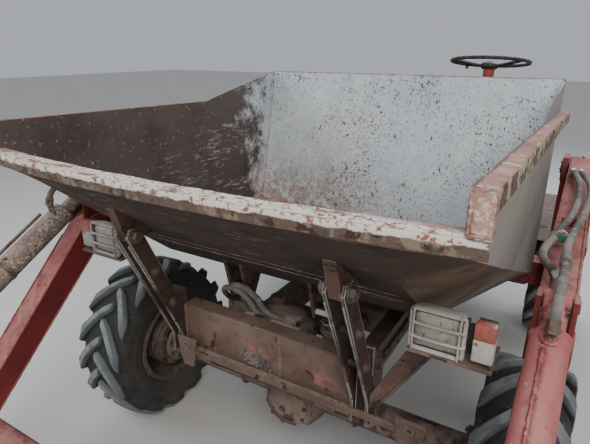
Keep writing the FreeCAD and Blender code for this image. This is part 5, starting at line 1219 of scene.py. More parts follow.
def skip_fittings():
    """Stiffeners under the skip, weld seams, and the bosses round the hinges' pins."""
    piece = Piece("skip_fittings", "skip", "skip_paint", skip_white, lug_paint, steel)
    slope_low, slope_high = Vector((0, -0.3875, 0.955)), Vector((0, -0.955, 1.4225))
    way = (slope_high - slope_low).normalized()
    down = Vector((0, -way.z, way.y)) * -1
    if down.z > 0:
        down = -down
    # pressed channels across the front panel's underside
    for share in (0.30,):
        centre = slope_low.lerp(slope_high, share)
        for off in (-0.03, 0.03):
            spot = centre + way * off
            piece.bead((-0.50, spot.y + down.y * 0.001, spot.z + down.z * 0.001),
                       (0.50, spot.y + down.y * 0.001, spot.z + down.z * 0.001), 0.004, 0, 31)
    # seams inside, floor to sloping sides
    for side in SIDES:
        piece.bead((0.537 * side, -0.3875, 0.968), (0.537 * side, 0.3835, 0.679), 0.004, 0, 32, 0.014)
        piece.bead((0.52 * side, 0.372, 0.69), (0.52 * side, 0.570, 0.89), 0.004, 0, 33, 0.014)
        piece.bead(((half_inside(0.60) - 0.001) * side, 0.582, 0.90), ((half_inside(0.6) - 0.001) * side, 0.700, 1.47),
                   0.004, 0, 34, 0.014)
        # hinge ears: gusset welds and the boss round each pin
        x = 0.3835 * side
        for end in SIDES:
            piece.rod((x + 0.0185 * end, -0.7155, 1.160), (x + 0.0205 * end, -0.7155, 1.160), 0.024, 1, 26)
        for off in (-0.0185, 0.0185):
            piece.bead((x + off, -0.7725, 1.2705), (x + off, -0.6285, 1.1525), 0.004, 1, 35)
    piece.done()


# Loader

def arm_fittings(word, side):
    """Welds, reinforcing plates, pins' keepers and hose clips on one arm."""
    piece = Piece(f"arm_fittings_{word}", "loader_arms", "arm_paint", arm_red, steel, bright_steel, hose_rubber,
                  clamp_green, pipe_grey)
    low, high = 0.819, 0.909
    elbow, pin, pivot = Vector((0, -0.5125, 1.045)), Vector((0, -1.4075, 0.180)), Vector((0, 0.7885, 1.215))
    fore = (pin - elbow).normalized()
    rear = (pivot - elbow).normalized()
    up_fore = Vector((0, -fore.z, fore.y))
    if up_fore.z < 0:
        up_fore = -up_fore
    up_rear = Vector((0, -rear.z, rear.y))
    if up_rear.z < 0:
        up_rear = -up_rear

    def at(x, base, way, far, up, high_by):
        spot = base + way * far + up * high_by
        return Vector((x * side, spot.y, spot.z))

    # edge welds of the box section along both lengths, above and below
    for x in (low + 0.001, high - 0.001):
        piece.bead(at(x, elbow, fore, 0.09, up_fore, 0.0535), at(x, pin, fore, -0.09, up_fore, 0.0365), 0.0042, 0, 41)
        piece.bead(at(x, elbow, fore, 0.09, up_fore, -0.0535), at(x, pin, fore, -0.09, up_fore, -0.0365), 0.0042, 0, 42)
        piece.bead(at(x, elbow, rear, 0.13, up_rear, 0.0555), at(x, pivot, rear, -0.08, up_rear, 0.0525), 0.0042, 0, 43)
    # reinforcing plates on the elbow's cheeks
    for x in (low, high):
        out = -1 if x == low else 1
        centre = Vector((x * side, elbow.y, elbow.z))
        way = Vector((out * side, 0, 0))
        piece.lathe([(0, 0), (0.050, 0), (0.050, 0.004), (0.047, 0.006), (0, 0.006)], centre, way, 0, 36)
        piece.lathe([(0, 0), (0.042, 0), (0.042, 0.010), (0, 0.010)], Vector((x * side, pin.y, pin.z)), way, 0, 30)
        piece.lathe([(0.031, 0), (0.058, 0), (0.058, 0.0045), (0.054, 0.0065), (0.031, 0.0065)],
                    Vector((x * side, pivot.y, pivot.z)), way, 0, 36, closed=True)
    # bucket pin's ends, keeper plate and its bolt
    for x, out in ((low - 0.026, -1), (high + 0.026, 1)):
        spot = Vector((x * side, pin.y, pin.z))
        piece.rod(spot, spot + Vector((out * side * 0.003, 0, 0)), 0.021, 1, 20)
        piece.rod(spot, spot + Vector((out * side * 0.008, 0, 0)), 0.005, 2, 8)
    # grease nipples on both bosses
    for spot, way in ((at(0.864, pivot, rear, 0, up_rear, 0.060), up_rear), (at(0.864, pin, fore, 0, up_fore, 0.0345), up_fore)):
        piece.rod(spot, spot + way * 0.006, 0.006, 2, 6)
        piece.rod(spot + way * 0.006, spot + way * 0.012, 0.0035, 2, 10)
    # two elbows where the hoses leave the pipes that come up the tower
    for x in (0.836, 0.866):
        start = at(x, elbow, rear, 1.06, up_rear, 0.082)
        piece.pipe([at(x, elbow, rear, 1.09, up_rear, 0.054), at(x, elbow, rear, 1.088, up_rear, 0.074), start,
                    at(x + 0.004, elbow, rear, 1.02, up_rear, 0.086)], 0.0125, 2, 12, 4)
        piece.rod(at(x, elbow, rear, 1.045, up_rear, 0.084), at(x + 0.002, elbow, rear, 1.025, up_rear, 0.086), 0.0165, 2, 6)
    for far in (0.60,):
        piece.box(at(0.834, elbow, rear, far, up_rear, 0.055) - Vector((0, 0.014, 0)) - Vector((0, 0, 0.002)),
                  at(0.888, elbow, rear, far, up_rear, 0.055) + Vector((0, 0.014, 0.026)), 0, 0.003) if side > 0 else \
            piece.box(at(0.888, elbow, rear, far, up_rear, 0.055) - Vector((0, 0.014, 0)) - Vector((0, 0, 0.002)),
                      at(0.834, elbow, rear, far, up_rear, 0.055) + Vector((0, 0.014, 0.026)), 0, 0.003)
        piece.bolt(at(0.861, elbow, rear, far, up_rear, 0.0795), up_rear, 0.006, 0.006, 2)
    # inner hose: bows, hangs in a loop past the arm's inner edge and ends in an elbow
    route = [at(0.840, elbow, rear, 1.03, up_rear, 0.086), at(0.862, elbow, rear, 0.92, up_rear, 0.098),
             at(0.872, elbow, rear, 0.78, up_rear, 0.102), at(0.866, elbow, rear, 0.62, up_rear, 0.098),
             at(0.842, elbow, rear, 0.48, up_rear, 0.100), at(0.822, elbow, rear, 0.37, up_rear, 0.108),
             at(0.808, elbow, rear, 0.29, up_rear, 0.112), at(0.810, elbow, rear, 0.23, up_rear, 0.116),
             at(0.828, elbow, rear, 0.195, up_rear, 0.114), at(0.846, elbow, rear, 0.185, up_rear, 0.100)]
    piece.pipe(route, 0.0115, 3, 12, 7)
    piece.rod(at(0.840, elbow, rear, 0.188, up_rear, 0.106), at(0.850, elbow, rear, 0.183, up_rear, 0.090), 0.0145, 2, 6)
    piece.rod(at(0.849, elbow, rear, 0.183, up_rear, 0.094), at(0.851, elbow, rear, 0.183, up_rear, 0.052), 0.0125, 2, 14)
    # clamp that holds both hoses together
    clamp = at(0.846, elbow, rear, 0.385, up_rear, 0.108)
    piece.box(clamp - Vector((0.034, 0.012, 0.013)), clamp + Vector((0.034, 0.012, 0.014)), 4, 0.005)
    piece.bolt(clamp + Vector((0, 0, 0.016)), (0, 0, 1), 0.007, 0.006, 2)
    piece.done(36)
    # outer hose: bows outwards and crosses to the crowd ram's barrel
    hose = Piece(f"crowd_hose_{word}", None, "black_plastic", hose_rubber, pipe_grey, steel)
    route = [at(0.870, elbow, rear, 1.03, up_rear, 0.086), at(0.894, elbow, rear, 0.92, up_rear, 0.100),
             at(0.906, elbow, rear, 0.77, up_rear, 0.104), at(0.894, elbow, rear, 0.58, up_rear, 0.104),
             at(0.872, elbow, rear, 0.42, up_rear, 0.108), at(0.864, elbow, rear, 0.31, up_rear, 0.120),
             at(0.866, elbow, rear, 0.20, up_rear, 0.146), at(0.867, elbow, rear, 0.10, up_rear, 0.178),
             Vector((0.866 * side, -0.52, 1.238)), Vector((0.865 * side, -0.60, 1.246)),
             Vector((0.864 * side, -0.655, 1.222)), Vector((0.864 * side, -0.6755, 1.1780))]
    hose.pipe(route, 0.0115, 0, 12, 8)
    hose.rod(route[6], route[7], 0.0155, 1, 16)
    hose.rod(Vector((0.864 * side, -0.668, 1.198)), Vector((0.864 * side, -0.6765, 1.1690)), 0.0145, 2, 6)
    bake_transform(hose.done(36))


def tower_fittings(side):
    """Welds, pins' ends and keepers on a loader tower."""
    piece = Piece(f"tower_fittings_{'left' if side > 0 else 'right'}", "chassis", "arm_paint", arm_red, steel,
                  bright_steel, pipe_grey, hose_rubber)
    for x, out in ((0.784, -1), (0.944, 1)):
        for y, z, size in ((0.7885, 1.215, 0.025), (0.7625, 0.480, 0.016)):
            spot = Vector((x * side, y, z))
            way = Vector((out * side, 0, 0))
            piece.rod(spot, spot + way * 0.004, size * 0.86, 1, 20)
            piece.rod(spot, spot + way * 0.009, size * 0.2, 2, 8)
            plate = spot + Vector((-out * side * 0.0055, 0, size + 0.008))
            piece.box(plate - Vector((0.004, 0.022, 0.010)), plate + Vector((0.004, 0.022, 0.010)), 0, 0.002)
            for end in SIDES:
                piece.bolt(plate + Vector((out * side * 0.004, end * 0.013, 0)), way, 0.006, 0.005, 2)
    for x, out in ((0.7905, -1), (0.9375, 1)):
        way = Vector((out * side, 0, 0))
        # round doubler at the pivot and a line of weld up the web
        piece.lathe([(0.027, 0), (0.056, 0), (0.056, 0.004), (0.052, 0.0055), (0.027, 0.0055)],
                    Vector((x * side, 0.7885, 1.215)), way, 0, 36, closed=True)
        piece.bead(((x + out * 0.0005) * side, 0.8735, 0.64), ((x + out * 0.0005) * side, 0.8735, 1.15), 0.004, 0, 51)
    for x in (0.795, 0.933):
        piece.bead((x * side, 0.8795, 0.63), (x * side, 0.8795, 1.155), 0.0045, 0, 52)
    piece.bead((0.785 * side, 0.7560, 0.628), (0.785 * side, 0.7560, 0.747), 0.005, 0, 53)
    # pipes down the web's rear face, with their clips
    for x in (0.845, 0.885):
        piece.pipe([(x * side, 0.888, 0.66), (x * side, 0.888, 0.90), (x * side, 0.888, 1.13)], 0.008, 3, 10, 2)
        piece.rod((x * side, 0.888, 1.12), (x * side, 0.888, 1.152), 0.012, 2, 6)
        piece.rod((x * side, 0.888, 0.64), (x * side, 0.888, 0.668), 0.012, 2, 6)
    for z in (0.74, 0.98):
        piece.box((min(0.83 * side, 0.90 * side), 0.8775, z), (max(0.83 * side, 0.90 * side), 0.9, z + 0.022), 1, 0.003)
        piece.bolt((0.865 * side, 0.9, z + 0.011), (0, 1, 0), 0.006, 0.005, 2)
    piece.done(36)


def ram_fittings(name, barrel_body, rod_body, x, foot, eye, radius, start, long, rod_radius, look, piped=True):
    """Collars, ports and glands on one ram, and a wiper ring on its rod's eye."""
    foot, eye = Vector((x, *foot)), Vector((x, *eye))
    way = (eye - foot).normalized()
    side = 1 if x > 0 else -1
    across = Vector((side, 0, 0))
    up = way.cross(across)
    if up.z < 0:
        up = -up
    piece = Piece(name + "_barrel_fittings", barrel_body, "ram_paint" if barrel_body != "crowd_barrel" else "crowd_paint",
                  look, steel, bright_steel)
    gland = foot + way * (long - 0.042)
    piece.lathe([(radius - 0.004, 0), (radius + 0.0045, 0), (radius + 0.0055, 0.004), (radius + 0.0055, 0.036),
                 (radius + 0.003, 0.0405), (rod_radius + 0.0008, 0.0412), (rod_radius + 0.0008, 0.036)], gland, way, 0, 40)
    for index in range(4):
        angle = math.tau * index / 4 + 0.4
        out = up * math.cos(angle) + across * math.sin(angle)
        piece.rod(gland + way * 0.020 + out * (radius + 0.004), gland + way * 0.020 + out * (radius + 0.0062), 0.004, 1, 8)
    back = foot + way * start
    piece.lathe([(radius - 0.003, 0), (radius + 0.0025, 0.002), (radius + 0.003, 0.007), (radius - 0.001, 0.012)], back, way,
                0, 40)
    # ports: a boss, an elbow and a short stub each, joined by a pipe along the barrel
    rise = radius + 0.018
    near, far = back + way * 0.030, foot + way * (long - 0.075)
    for spot in (near, far):
        piece.rod(spot + up * (radius - 0.003), spot + up * (radius + 0.010), 0.0125, 0, 18)
        piece.rod(spot + up * (radius + 0.010), spot + up * (radius + 0.020), 0.0105, 2, 6)
    line = [far + up * rise, far + up * (rise + 0.004) - way * 0.016, far + up * (rise + 0.002) - way * 0.06,
            near + up * (rise + 0.002) + way * 0.10, near + up * (rise + 0.002) + way * 0.045]
    if not piped:
        # a run of weld along the barrel's top, and a ring round the port
        seam = math.radians(14)
        out = up * math.cos(seam) - across * math.sin(seam)
        piece.bead(near + way * 0.03 + out * (radius + 0.0005), far - way * 0.02 + out * (radius + 0.0005), 0.0052, 0, 55, 0.007)
        piece.lathe([(0.013, 0), (0.020, 0.001), (0.021, 0.006), (0.013, 0.008)], near + up * (radius - 0.0015), up, 0, 26, closed=True)
    elif (far - near).length > 0.25:
        piece.pipe(line, 0.0062, 1, 9, 5)
        middle = near.lerp(far, 0.55)
        piece.lathe([(radius + 0.0002, -0.009), (radius + 0.0025, -0.008), (radius + 0.0025, 0.008), (radius + 0.0002, 0.009)],
                    middle, way, 1, 36, closed=True)
    # pin's washers at the foot
    for end in SIDES:
        spot = foot + across * end * 0.0282
        piece.rod(spot, spot + across * end * 0.0015, 0.026, 1, 24)
    piece.rod(foot - way * radius * 0.0 + up * 0.0, foot + up * 0.0 + across * 0.0301, 0.012, 1, 16)
    piece.done(38)
    rod = Piece(name + "_rod_fittings", rod_body, "ram_chrome", bright_steel, steel)
    head = eye - way * 0.048
    rod.lathe([(rod_radius, -0.012), (rod_radius + 0.006, -0.010), (rod_radius + 0.006, 0.0), (rod_radius, 0.004)], head, way,
              1, 32, closed=True)
    for end in SIDES:
        spot = eye + across * end * 0.0282
        rod.rod(spot, spot + across * end * 0.0014, 0.024, 1, 24)
    rod.done(38)


def bucket_fittings():
    """A bolted cutting edge, stiffening ribs and weld lines on the bucket."""
    piece = Piece("bucket_fittings", "bucket", "bucket_steel", bucket_rust, bright_steel)
    for index in range(13):
        x = -0.84 + 1.68 * index / 12
        piece.bolt((x, -1.905, 0.0437), (0, 0, 1), 0.012, 0.008, 1, False)
    for side in SIDES:
        # end plates' bolts and weld lines
        x_out, x_in = 0.9548 * side, 0.9428 * side
        strip = [(-1.9300, 0.046), (-1.5700, 0.4925), (-1.5950, 0.4925), (-1.9480, 0.062)]
        del strip, x_out
        for y, z in ((-1.84, 0.09), (-1.78, 0.165), (-1.72, 0.24), (-1.66, 0.315)):
            piece.bolt((x_in - 0.0002 * side, y + 0.05, z), (-side, 0, 0), 0.009, 0.007, 1, False)
        piece.bead((x_in, -1.86, 0.030), (x_in, -1.56, 0.030), 0.005, 0, 61)
        piece.bead((x_in, -1.4935, 0.12), (x_in, -1.4935, 0.39), 0.005, 0, 62)
        for x in (0.800, 0.928):
            piece.bead((x * side, -1.4790, 0.115), (x * side, -1.4790, 0.325), 0.005, 0, 63)
    # stiffening ribs on the back, between the arms
    for x in (-0.52, 0.0, 0.52):
        piece.box((x - 0.006, -1.4797, 0.075), (x + 0.006, -1.4620, 0.395), 0, 0.003)
        piece.bead((x - 0.008, -1.4795, 0.08), (x - 0.008, -1.4795, 0.39), 0.004, 0, 64)
    piece.box((-0.80, -1.4797, 0.225), (0.80, -1.4700, 0.262), 0, 0.003)
    piece.done(36)


# Driver's place and rear body

def cover_fittings():
    """Pressed louvres, handles, latches and a rolled edge on the engine cover."""
    piece = Piece("engine_cover_fittings", "cover", "cover_paint", cover_red, steel, painted_shade_and_soot, black_plastic)
    x_low, x_high, y_low, y_high, z_low, z_high = -0.47, 0.17, 0.9825, 1.8825, 0.806, 1.276
    # louvres in both sides
    for side, x in ((-1, x_low), (1, x_high)):
        for bank in (1.12, 1.47):
            for row in range(9):
                z = 0.895 + row * 0.030
                low, high = bank, bank + 0.235
                x_face = x - side * 0.0002
                rings = []
                for y, lift in ((low, 0.0015), (low + 0.012, 0.009), (high - 0.012, 0.009), (high, 0.0015)):
                    ring = []
                    for off, drop in ((0.0, 0.011), (lift * 0.4, 0.009), (lift, 0.001), (lift * 0.9, -0.002), (0.0, -0.002)):
                        ring.append(Vector((x_face + side * off, y, z + drop)))
                    rings.append(ring)
                piece.loft(rings, 0)
                # a dark slit under each louvre: painted shade of its opening
                piece.box((min(x_face, x_face + side * 0.0009), low + 0.010, z - 0.0065),
                          (max(x_face, x_face + side * 0.0009), high - 0.010, z - 0.002), 2, 0)
    # grille in the front face: a frame and level slats over a dark back, painted shade of the space behind
    front = y_low + 0.0003
    piece.box((-0.37, front - 0.0012, 0.90), (0.07, front, 1.17), 2, 0)
    for low, high in (((-0.385, 0.885), (0.085, 0.905)), ((-0.385, 1.165), (0.085, 1.185)),
                      ((-0.385, 0.885), (-0.365, 1.185)), ((0.065, 0.885), (0.085, 1.185)), ((-0.158, 0.89), (-0.142, 1.18))):
        piece.box((low[0], front - 0.010, low[1]), (high[0], front, high[1]), 0, 0.002)
    for row in range(12):
        z = 0.915 + row * 0.0212
        piece.box((-0.37, front - 0.0075, z), (0.07, front - 0.001, z + 0.0055), 0, 0.0015)
    # handles: one each side low down, and latches beside the front corners
    for side, x in ((-1, x_low), (1, x_high)):
        grip = [(x, 1.38, 0.868), (x + side * 0.006, 1.385, 0.868), (x + side * 0.009, 1.42, 0.868),
                (x + side * 0.006, 1.455, 0.868), (x, 1.46, 0.868)]
        piece.pipe(grip, 0.0045, 1, 10, 4)
        piece.box((min(x, x + side * 0.007), 1.02, 0.83), (max(x, x + side * 0.007), 1.045, 0.90), 1, 0.002)
        piece.pipe([(x + side * 0.006, 1.0325, 0.895), (x + side * 0.0085, 1.0325, 0.87), (x + side * 0.006, 1.0325, 0.84)],
                   0.003, 1, 8, 4)
    # lifting bar over the front, and rolled edges along the top
    bar_z = z_high - 0.012
    piece.pipe([(-0.28, y_low + 0.032, bar_z - 0.012), (-0.275, y_low + 0.010, bar_z - 0.008), (-0.15, y_low + 0.005, bar_z - 0.006),
                (-0.025, y_low + 0.010, bar_z - 0.008), (-0.02, y_low + 0.032, bar_z - 0.012)], 0.007, 1, 10, 5)
    for x in (x_low + 0.0035, x_high - 0.0035):
        piece.pipe([(x, y_low + 0.045, z_high - 0.0035), (x, 1.4, z_high - 0.0035), (x, y_high - 0.055, z_high - 0.0035)],
                   0.0042, 0, 8, 2)
        piece.pipe([(x, y_low + 0.003, z_low + 0.003), (x, y_low + 0.003, z_high - 0.045)], 0.0042, 0, 8, 1)
    # stiffening swages pressed along the top
    for x in (-0.33, -0.15, 0.03):
        rings = []
        for y, lift in ((1.08, 0.0003), (1.11, 0.0035), (1.76, 0.0035), (1.79, 0.0003)):
            rings.append([Vector((x + off, y, z_high - 0.0038 + lift * high)) for off, high in
                          ((-0.022, 0.0), (-0.012, 1.0), (0.012, 1.0), (0.022, 0.0), (0.0, -0.6))])
        piece.loft(rings, 0)
    # round cap over the radiator's neck
    piece.lathe([(0, 0), (0.036, 0), (0.036, 0.0045), (0.030, 0.006), (0, 0.006)], (-0.15, 1.70, z_high - 0.0066), (0, 0, 1), 3, 28)
    piece.done(36)


def seat_pads():
    """Two crowned vinyl pads, blown up in cloth, then piped along their seams."""
    pads = (
        # name, low corner, high corner, which face rests
        ("seat_cushion_pad", Vector((0.176, 1.1625, 1.1803)), Vector((0.606, 1.492, 1.2700))),
        ("seat_backrest_pad", Vector((0.176, 1.4925, 1.1803)), Vector((0.606, 1.562, 1.5400))),
    )
    made = []
    for name, low, high in pads:
        mesh = bmesh.new()
        bmesh.ops.create_cube(mesh, size=1)
        inset = Vector((0.020, 0.014, 0.014))
        if name == "seat_backrest_pad":
            inset = Vector((0.020, 0.013, 0.020))
        for vert in mesh.verts:
            vert.co = (low + high) / 2 + Vector([a * (b - c * 2) for a, b, c in zip(vert.co, high - low, inset)])
        bmesh.ops.bevel(mesh, geom=mesh.edges[:], offset=0.020, segments=4, affect="EDGES", profile=0.5)
        bmesh.ops.subdivide_edges(mesh, edges=mesh.edges[:], cuts=1, use_grid_fill=True)
        data = bpy.data.meshes.new(name)
        mesh.to_mesh(data)
        mesh.free()
        thing = bpy.data.objects.new(name, data)
        bpy.context.collection.objects.link(thing)
        remesh = thing.modifiers.new("remesh", "REMESH")
        remesh.mode = "VOXEL"
        remesh.voxel_size = 0.006
        apply_modifiers(thing)
        start = [vert.co.copy() for vert in thing.data.vertices]
        cloth = thing.modifiers.new("cloth", "CLOTH")
        cloth.settings.use_pressure = True
        cloth.settings.uniform_pressure_force = 4.0
        cloth.settings.effector_weights.gravity = 0.0
        cloth.settings.quality = 5
        cloth.settings.tension_stiffness = 15
        cloth.settings.compression_stiffness = 15
        cloth.settings.bending_stiffness = 0.6
        for step in range(1, 21):
            bpy.context.scene.frame_set(step)
        graph = bpy.context.evaluated_depsgraph_get()
        blown = [vert.co.copy() for vert in thing.evaluated_get(graph).data.vertices]
        thing.modifiers.clear()
        bpy.context.scene.frame_set(1)
        rest_gap = 0.0012
        for vert, before, after in zip(thing.data.vertices, start, blown):
            move = after - before
            if move.length > 0.022:
                move = move.normalized() * 0.022
            spot = before + move
            # flat where the pad rests on its board, and inside its space elsewhere
            spot.x = min(max(spot.x, low.x + 0.0015), high.x - 0.0015)
            spot.y = min(max(spot.y, low.y + 0.0015), high.y - 0.0015)
            spot.z = min(max(spot.z, low.z + rest_gap), high.z - 0.0010)
            vert.co = spot
        sew(thing, low, high, name == "seat_cushion_pad")
        smooth = thing.modifiers.new("smooth", "SUBSURF")
        smooth.levels = 1
        apply_modifiers(thing)
        for face in thing.data.polygons:
            face.use_smooth = True
        thing.data.materials.clear()
        thing.data.materials.append(vinyl)
        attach(thing, "chassis")
        made.append(thing)
    piece = Piece("seat_piping", "chassis", "seat_vinyl", black_plastic, steel)
    for y_at, z_low, z_high, flat in ((0, 0, 0, True), (0, 0, 0, False)):
        del y_at, z_low, z_high
        ring = []
        for step in range(48):
            angle = math.tau * step / 48
            cx, sx = math.cos(angle), math.sin(angle)
            px = 0.391 + math.copysign(abs(cx) ** 0.22, cx) * 0.2085
            if flat:
                ring.append(Vector((px, 1.3272 + math.copysign(abs(sx) ** 0.22, sx) * 0.158, 1.2315)))
            else:
                ring.append(Vector((px, 1.5050, 1.3600 + math.copysign(abs(sx) ** 0.22, sx) * 0.174)))
        ring.append(ring[0])
        rings = tube_rings(ring, 0.0032, 8)
        piece.loft(rings[:-1] + [rings[0]], 0, caps=False)
    # seat's slide rails below the cushion
    for x in (0.235, 0.547):
        piece.box((x - 0.013, 1.1835, 1.1700), (x + 0.013, 1.4850, 1.1801), 1, 0.002)
    piece.done()
    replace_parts(made[0], "seat")


def sew(thing, low, high, cushion):
    """Presses three sewn channels into a pad's face."""
    span_x = high.x - low.x
    for vert in thing.data.vertices:
        spot = vert.co
        depth = 0.0
        for share in (0.27, 0.5, 0.73):
            gap = abs(spot.x - (low.x + span_x * share))
            depth = max(depth, 0.0075 * math.exp(-(gap / 0.007) ** 2))
        if cushion and spot.z > (low.z + high.z) / 2 + 0.012:
            edge = min(spot.y - low.y, high.y - spot.y)
            vert.co.z -= depth * min(1.0, max(0.0, (edge - 0.03) / 0.03))
        elif not cushion and spot.y < (low.y + high.y) / 2 - 0.006:
            edge = min(spot.z - low.z, high.z - spot.z)
            vert.co.y += depth * min(1.0, max(0.0, (edge - 0.03) / 0.03))


def apply_modifiers(thing):
    """Turns what the modifiers make into the piece's own mesh."""
    graph = bpy.context.evaluated_depsgraph_get()
    fresh = bpy.data.meshes.new_from_object(thing.evaluated_get(graph))
    thing.modifiers.clear()
    thing.data = fresh


def steering_wheel_and_console():
    """A moulded steering wheel with three spokes, gauges, a key and levers."""
    low, high = (Vector(corner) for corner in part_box("steering_wheel"))
    centre = (low + high) / 2
    tilt = math.atan2(0.121, 0.873)
    axis = Vector((0, math.sin(tilt), math.cos(tilt)))
    piece = Piece("steering_wheel_moulding", "chassis", "black_plastic", black_plastic, steel)
    across = Vector((1, 0, 0))
    ahead = axis.cross(across)
    ring_radius = 0.180
    rings = []
    for step in range(72):
        angle = math.tau * step / 72
        out = across * math.cos(angle) + ahead * math.sin(angle)
        thick = 0.0084 + 0.0005 * math.cos(angle * 24)
        rings.append([centre + out * (ring_radius + math.cos(turn) * thick) + axis * math.sin(turn) * thick
                      for turn in [math.tau * part / 12 for part in range(12)]])
    rings.append(rings[0])
    made = [[piece.mesh.verts.new(point) for point in ring] for ring in rings[:-1]]
    made.append(made[0])
    for one, two in zip(made, made[1:]):
        piece.bridge(one, two, 0)
    hub = centre - axis * 0.020
    for angle in (math.pi / 2, math.pi * 7 / 6, math.pi * 11 / 6):
        out = across * math.cos(angle) + ahead * math.sin(angle)
        piece.pipe([hub + out * 0.030, hub + out * 0.08 + axis * 0.004, centre + out * (ring_radius - 0.02) - axis * 0.004,
                    centre + out * ring_radius], 0.0085, 0, 10, 4)
    piece.lathe([(0, -0.014), (0.034, -0.014), (0.042, -0.004), (0.042, 0.008), (0.034, 0.016), (0.020, 0.020), (0, 0.021)],
                hub, axis, 0, 36)
    piece.lathe([(0, 0.0215), (0.013, 0.0215), (0.013, 0.024), (0, 0.026)], hub, axis, 1, 24)
    # spinner knob on the rim
    spot = centre + (across * math.cos(2.4) + ahead * math.sin(2.4)) * ring_radius
    piece.lathe([(0, -0.002), (0.008, -0.002), (0.008, 0.010), (0.019, 0.016), (0.022, 0.024), (0.017, 0.033), (0, 0.036)],
                spot - axis * 0.019, axis, 0, 28)
    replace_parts(piece.done(36), "steering_wheel")
    console = Piece("console_fittings", "chassis", "cover_paint", cover_red, black_plastic, steel, gauge_face, red_lens)
    face = 0.7480 + 0.0300
    top = 1.343
    for x, z, size in ((0.285, 1.285, 0.031), (0.360, 1.290, 0.024)):
        console.lathe([(0, 0), (size, 0), (size, 0.007), (size - 0.003, 0.009), (size - 0.005, 0.004), (0, 0.004)],
                      (x, face, z), (0, 1, 0), 1, 32)
        console.lathe([(0, 0.0042), (size - 0.005, 0.0042), (0, 0.0048)], (x, face, z), (0, 1, 0), 3, 32)
        console.box((x - 0.001, face + 0.0045, z - 0.003), (x + 0.001, face + 0.006, z + size * 0.6), 4, 0)
    for step, x in enumerate((0.262, 0.287, 0.312)):
        console.rod((x, face, 1.232), (x, face + 0.006, 1.232), 0.0065, 4 if step == 0 else 2, 16)
    console.rod((0.385, face, 1.230), (0.385, face + 0.006, 1.230), 0.014, 2, 24)
    console.box((0.3835, face + 0.005, 1.222), (0.3865, face + 0.024, 1.238), 2, 0.001)
    console.lathe([(0.017, 0), (0.020, 0.004), (0.016, 0.010), (0.018, 0.015), (0.013, 0.021), (0.014, 0.026), (0.0095, 0.033)],
                  (0.261, 0.7580, top - 0.002), (0, 0, 1), 1, 24)
    console.lathe([(0.017, 0), (0.020, 0.004), (0.016, 0.010), (0.018, 0.015), (0.013, 0.021), (0.014, 0.026), (0.0095, 0.033)],
                  (0.301, 0.7580, top - 0.002), (0, 0, 1), 1, 24)
    for index in range(4):
        console.bolt((0.250 if index < 2 else 0.440, face, 0.84 if index % 2 else 1.325), (0, 1, 0), 0.005, 0.004, 2, False)
    # pedals on the footplate
    for x in (0.30, 0.50, 0.58):
        console.box((x - 0.028, 0.858, 0.868), (x + 0.028, 0.905, 0.878), 1, 0.003,
                    Matrix.Rotation(math.radians(-32), 3, "X"))
        for rib in range(4):
            console.box((x - 0.024, 0.862 + rib * 0.011, 0.8775), (x + 0.024, 0.866 + rib * 0.011, 0.8805), 1, 0,
                        Matrix.Rotation(math.radians(-32), 3, "X"), (x, 0.8815, 0.873))
        console.rod((x, 0.878, 0.868), (x, 0.850, 0.801), 0.007, 2, 10)
        console.box((x - 0.014, 0.835, 0.7995), (x + 0.014, 0.865, 0.812), 2, 0.002)
    console.done(36)


def deck_fittings():
    """Raised chequers and edge bolts on the deck."""
    piece = Piece("deck_tread", "chassis", "chassis_paint", deck_paint, steel)
    draw = random.Random(3)
    areas = (
        # low x, high x, low y, high y
        (-0.67, 0.67, 0.785, 0.950),
        (0.615, 0.93, 0.965, 1.89),
        (-0.93, -0.505, 0.965, 1.89),
    )
    pitch = 0.040
    for low_x, high_x, low_y, high_y in areas:
        for row in range(int((high_y - low_y) / pitch)):
            for column in range(int((high_x - low_x) / pitch)):
                x = low_x + (column + 0.5) * pitch
                y = low_y + (row + 0.5) * pitch
                if abs(x - 0.345) < 0.13 and y < 0.80 or abs(x + 0.54) < 0.075 and abs(y - 1.1425) < 0.075:
                    continue
                lean = math.pi / 4 if (row + column) % 2 else -math.pi / 4
                long, half, tall = 0.0125, 0.0034, 0.0020 * draw.uniform(0.75, 1.0)
                way = Vector((math.cos(lean), math.sin(lean), 0))
                off = Vector((-way.y, way.x, 0))
                centre = Vector((x, y, 0.7999))
                ring = [centre - way * long, centre - off * half, centre + way * long, centre + off * half]
                base = [piece.mesh.verts.new(point) for point in ring]
                peak = [piece.mesh.verts.new(centre + (point - centre) * 0.62 + Vector((0, 0, tall))) for point in ring]
                piece.bridge(base, peak, 0)
                piece.keep([piece.mesh.faces.new(peak), piece.mesh.faces.new(base[::-1])], 0)
    for x, y in ((-0.66, 0.79), (0.66, 0.79), (0.94, 1.00), (0.94, 1.45), (0.94, 1.88), (-0.94, 1.00), (-0.94, 1.45), (-0.94, 1.88)):
        piece.bolt((x, y, 0.8), (0, 0, 1), 0.009, 0.005, 1)
    piece.done(30)


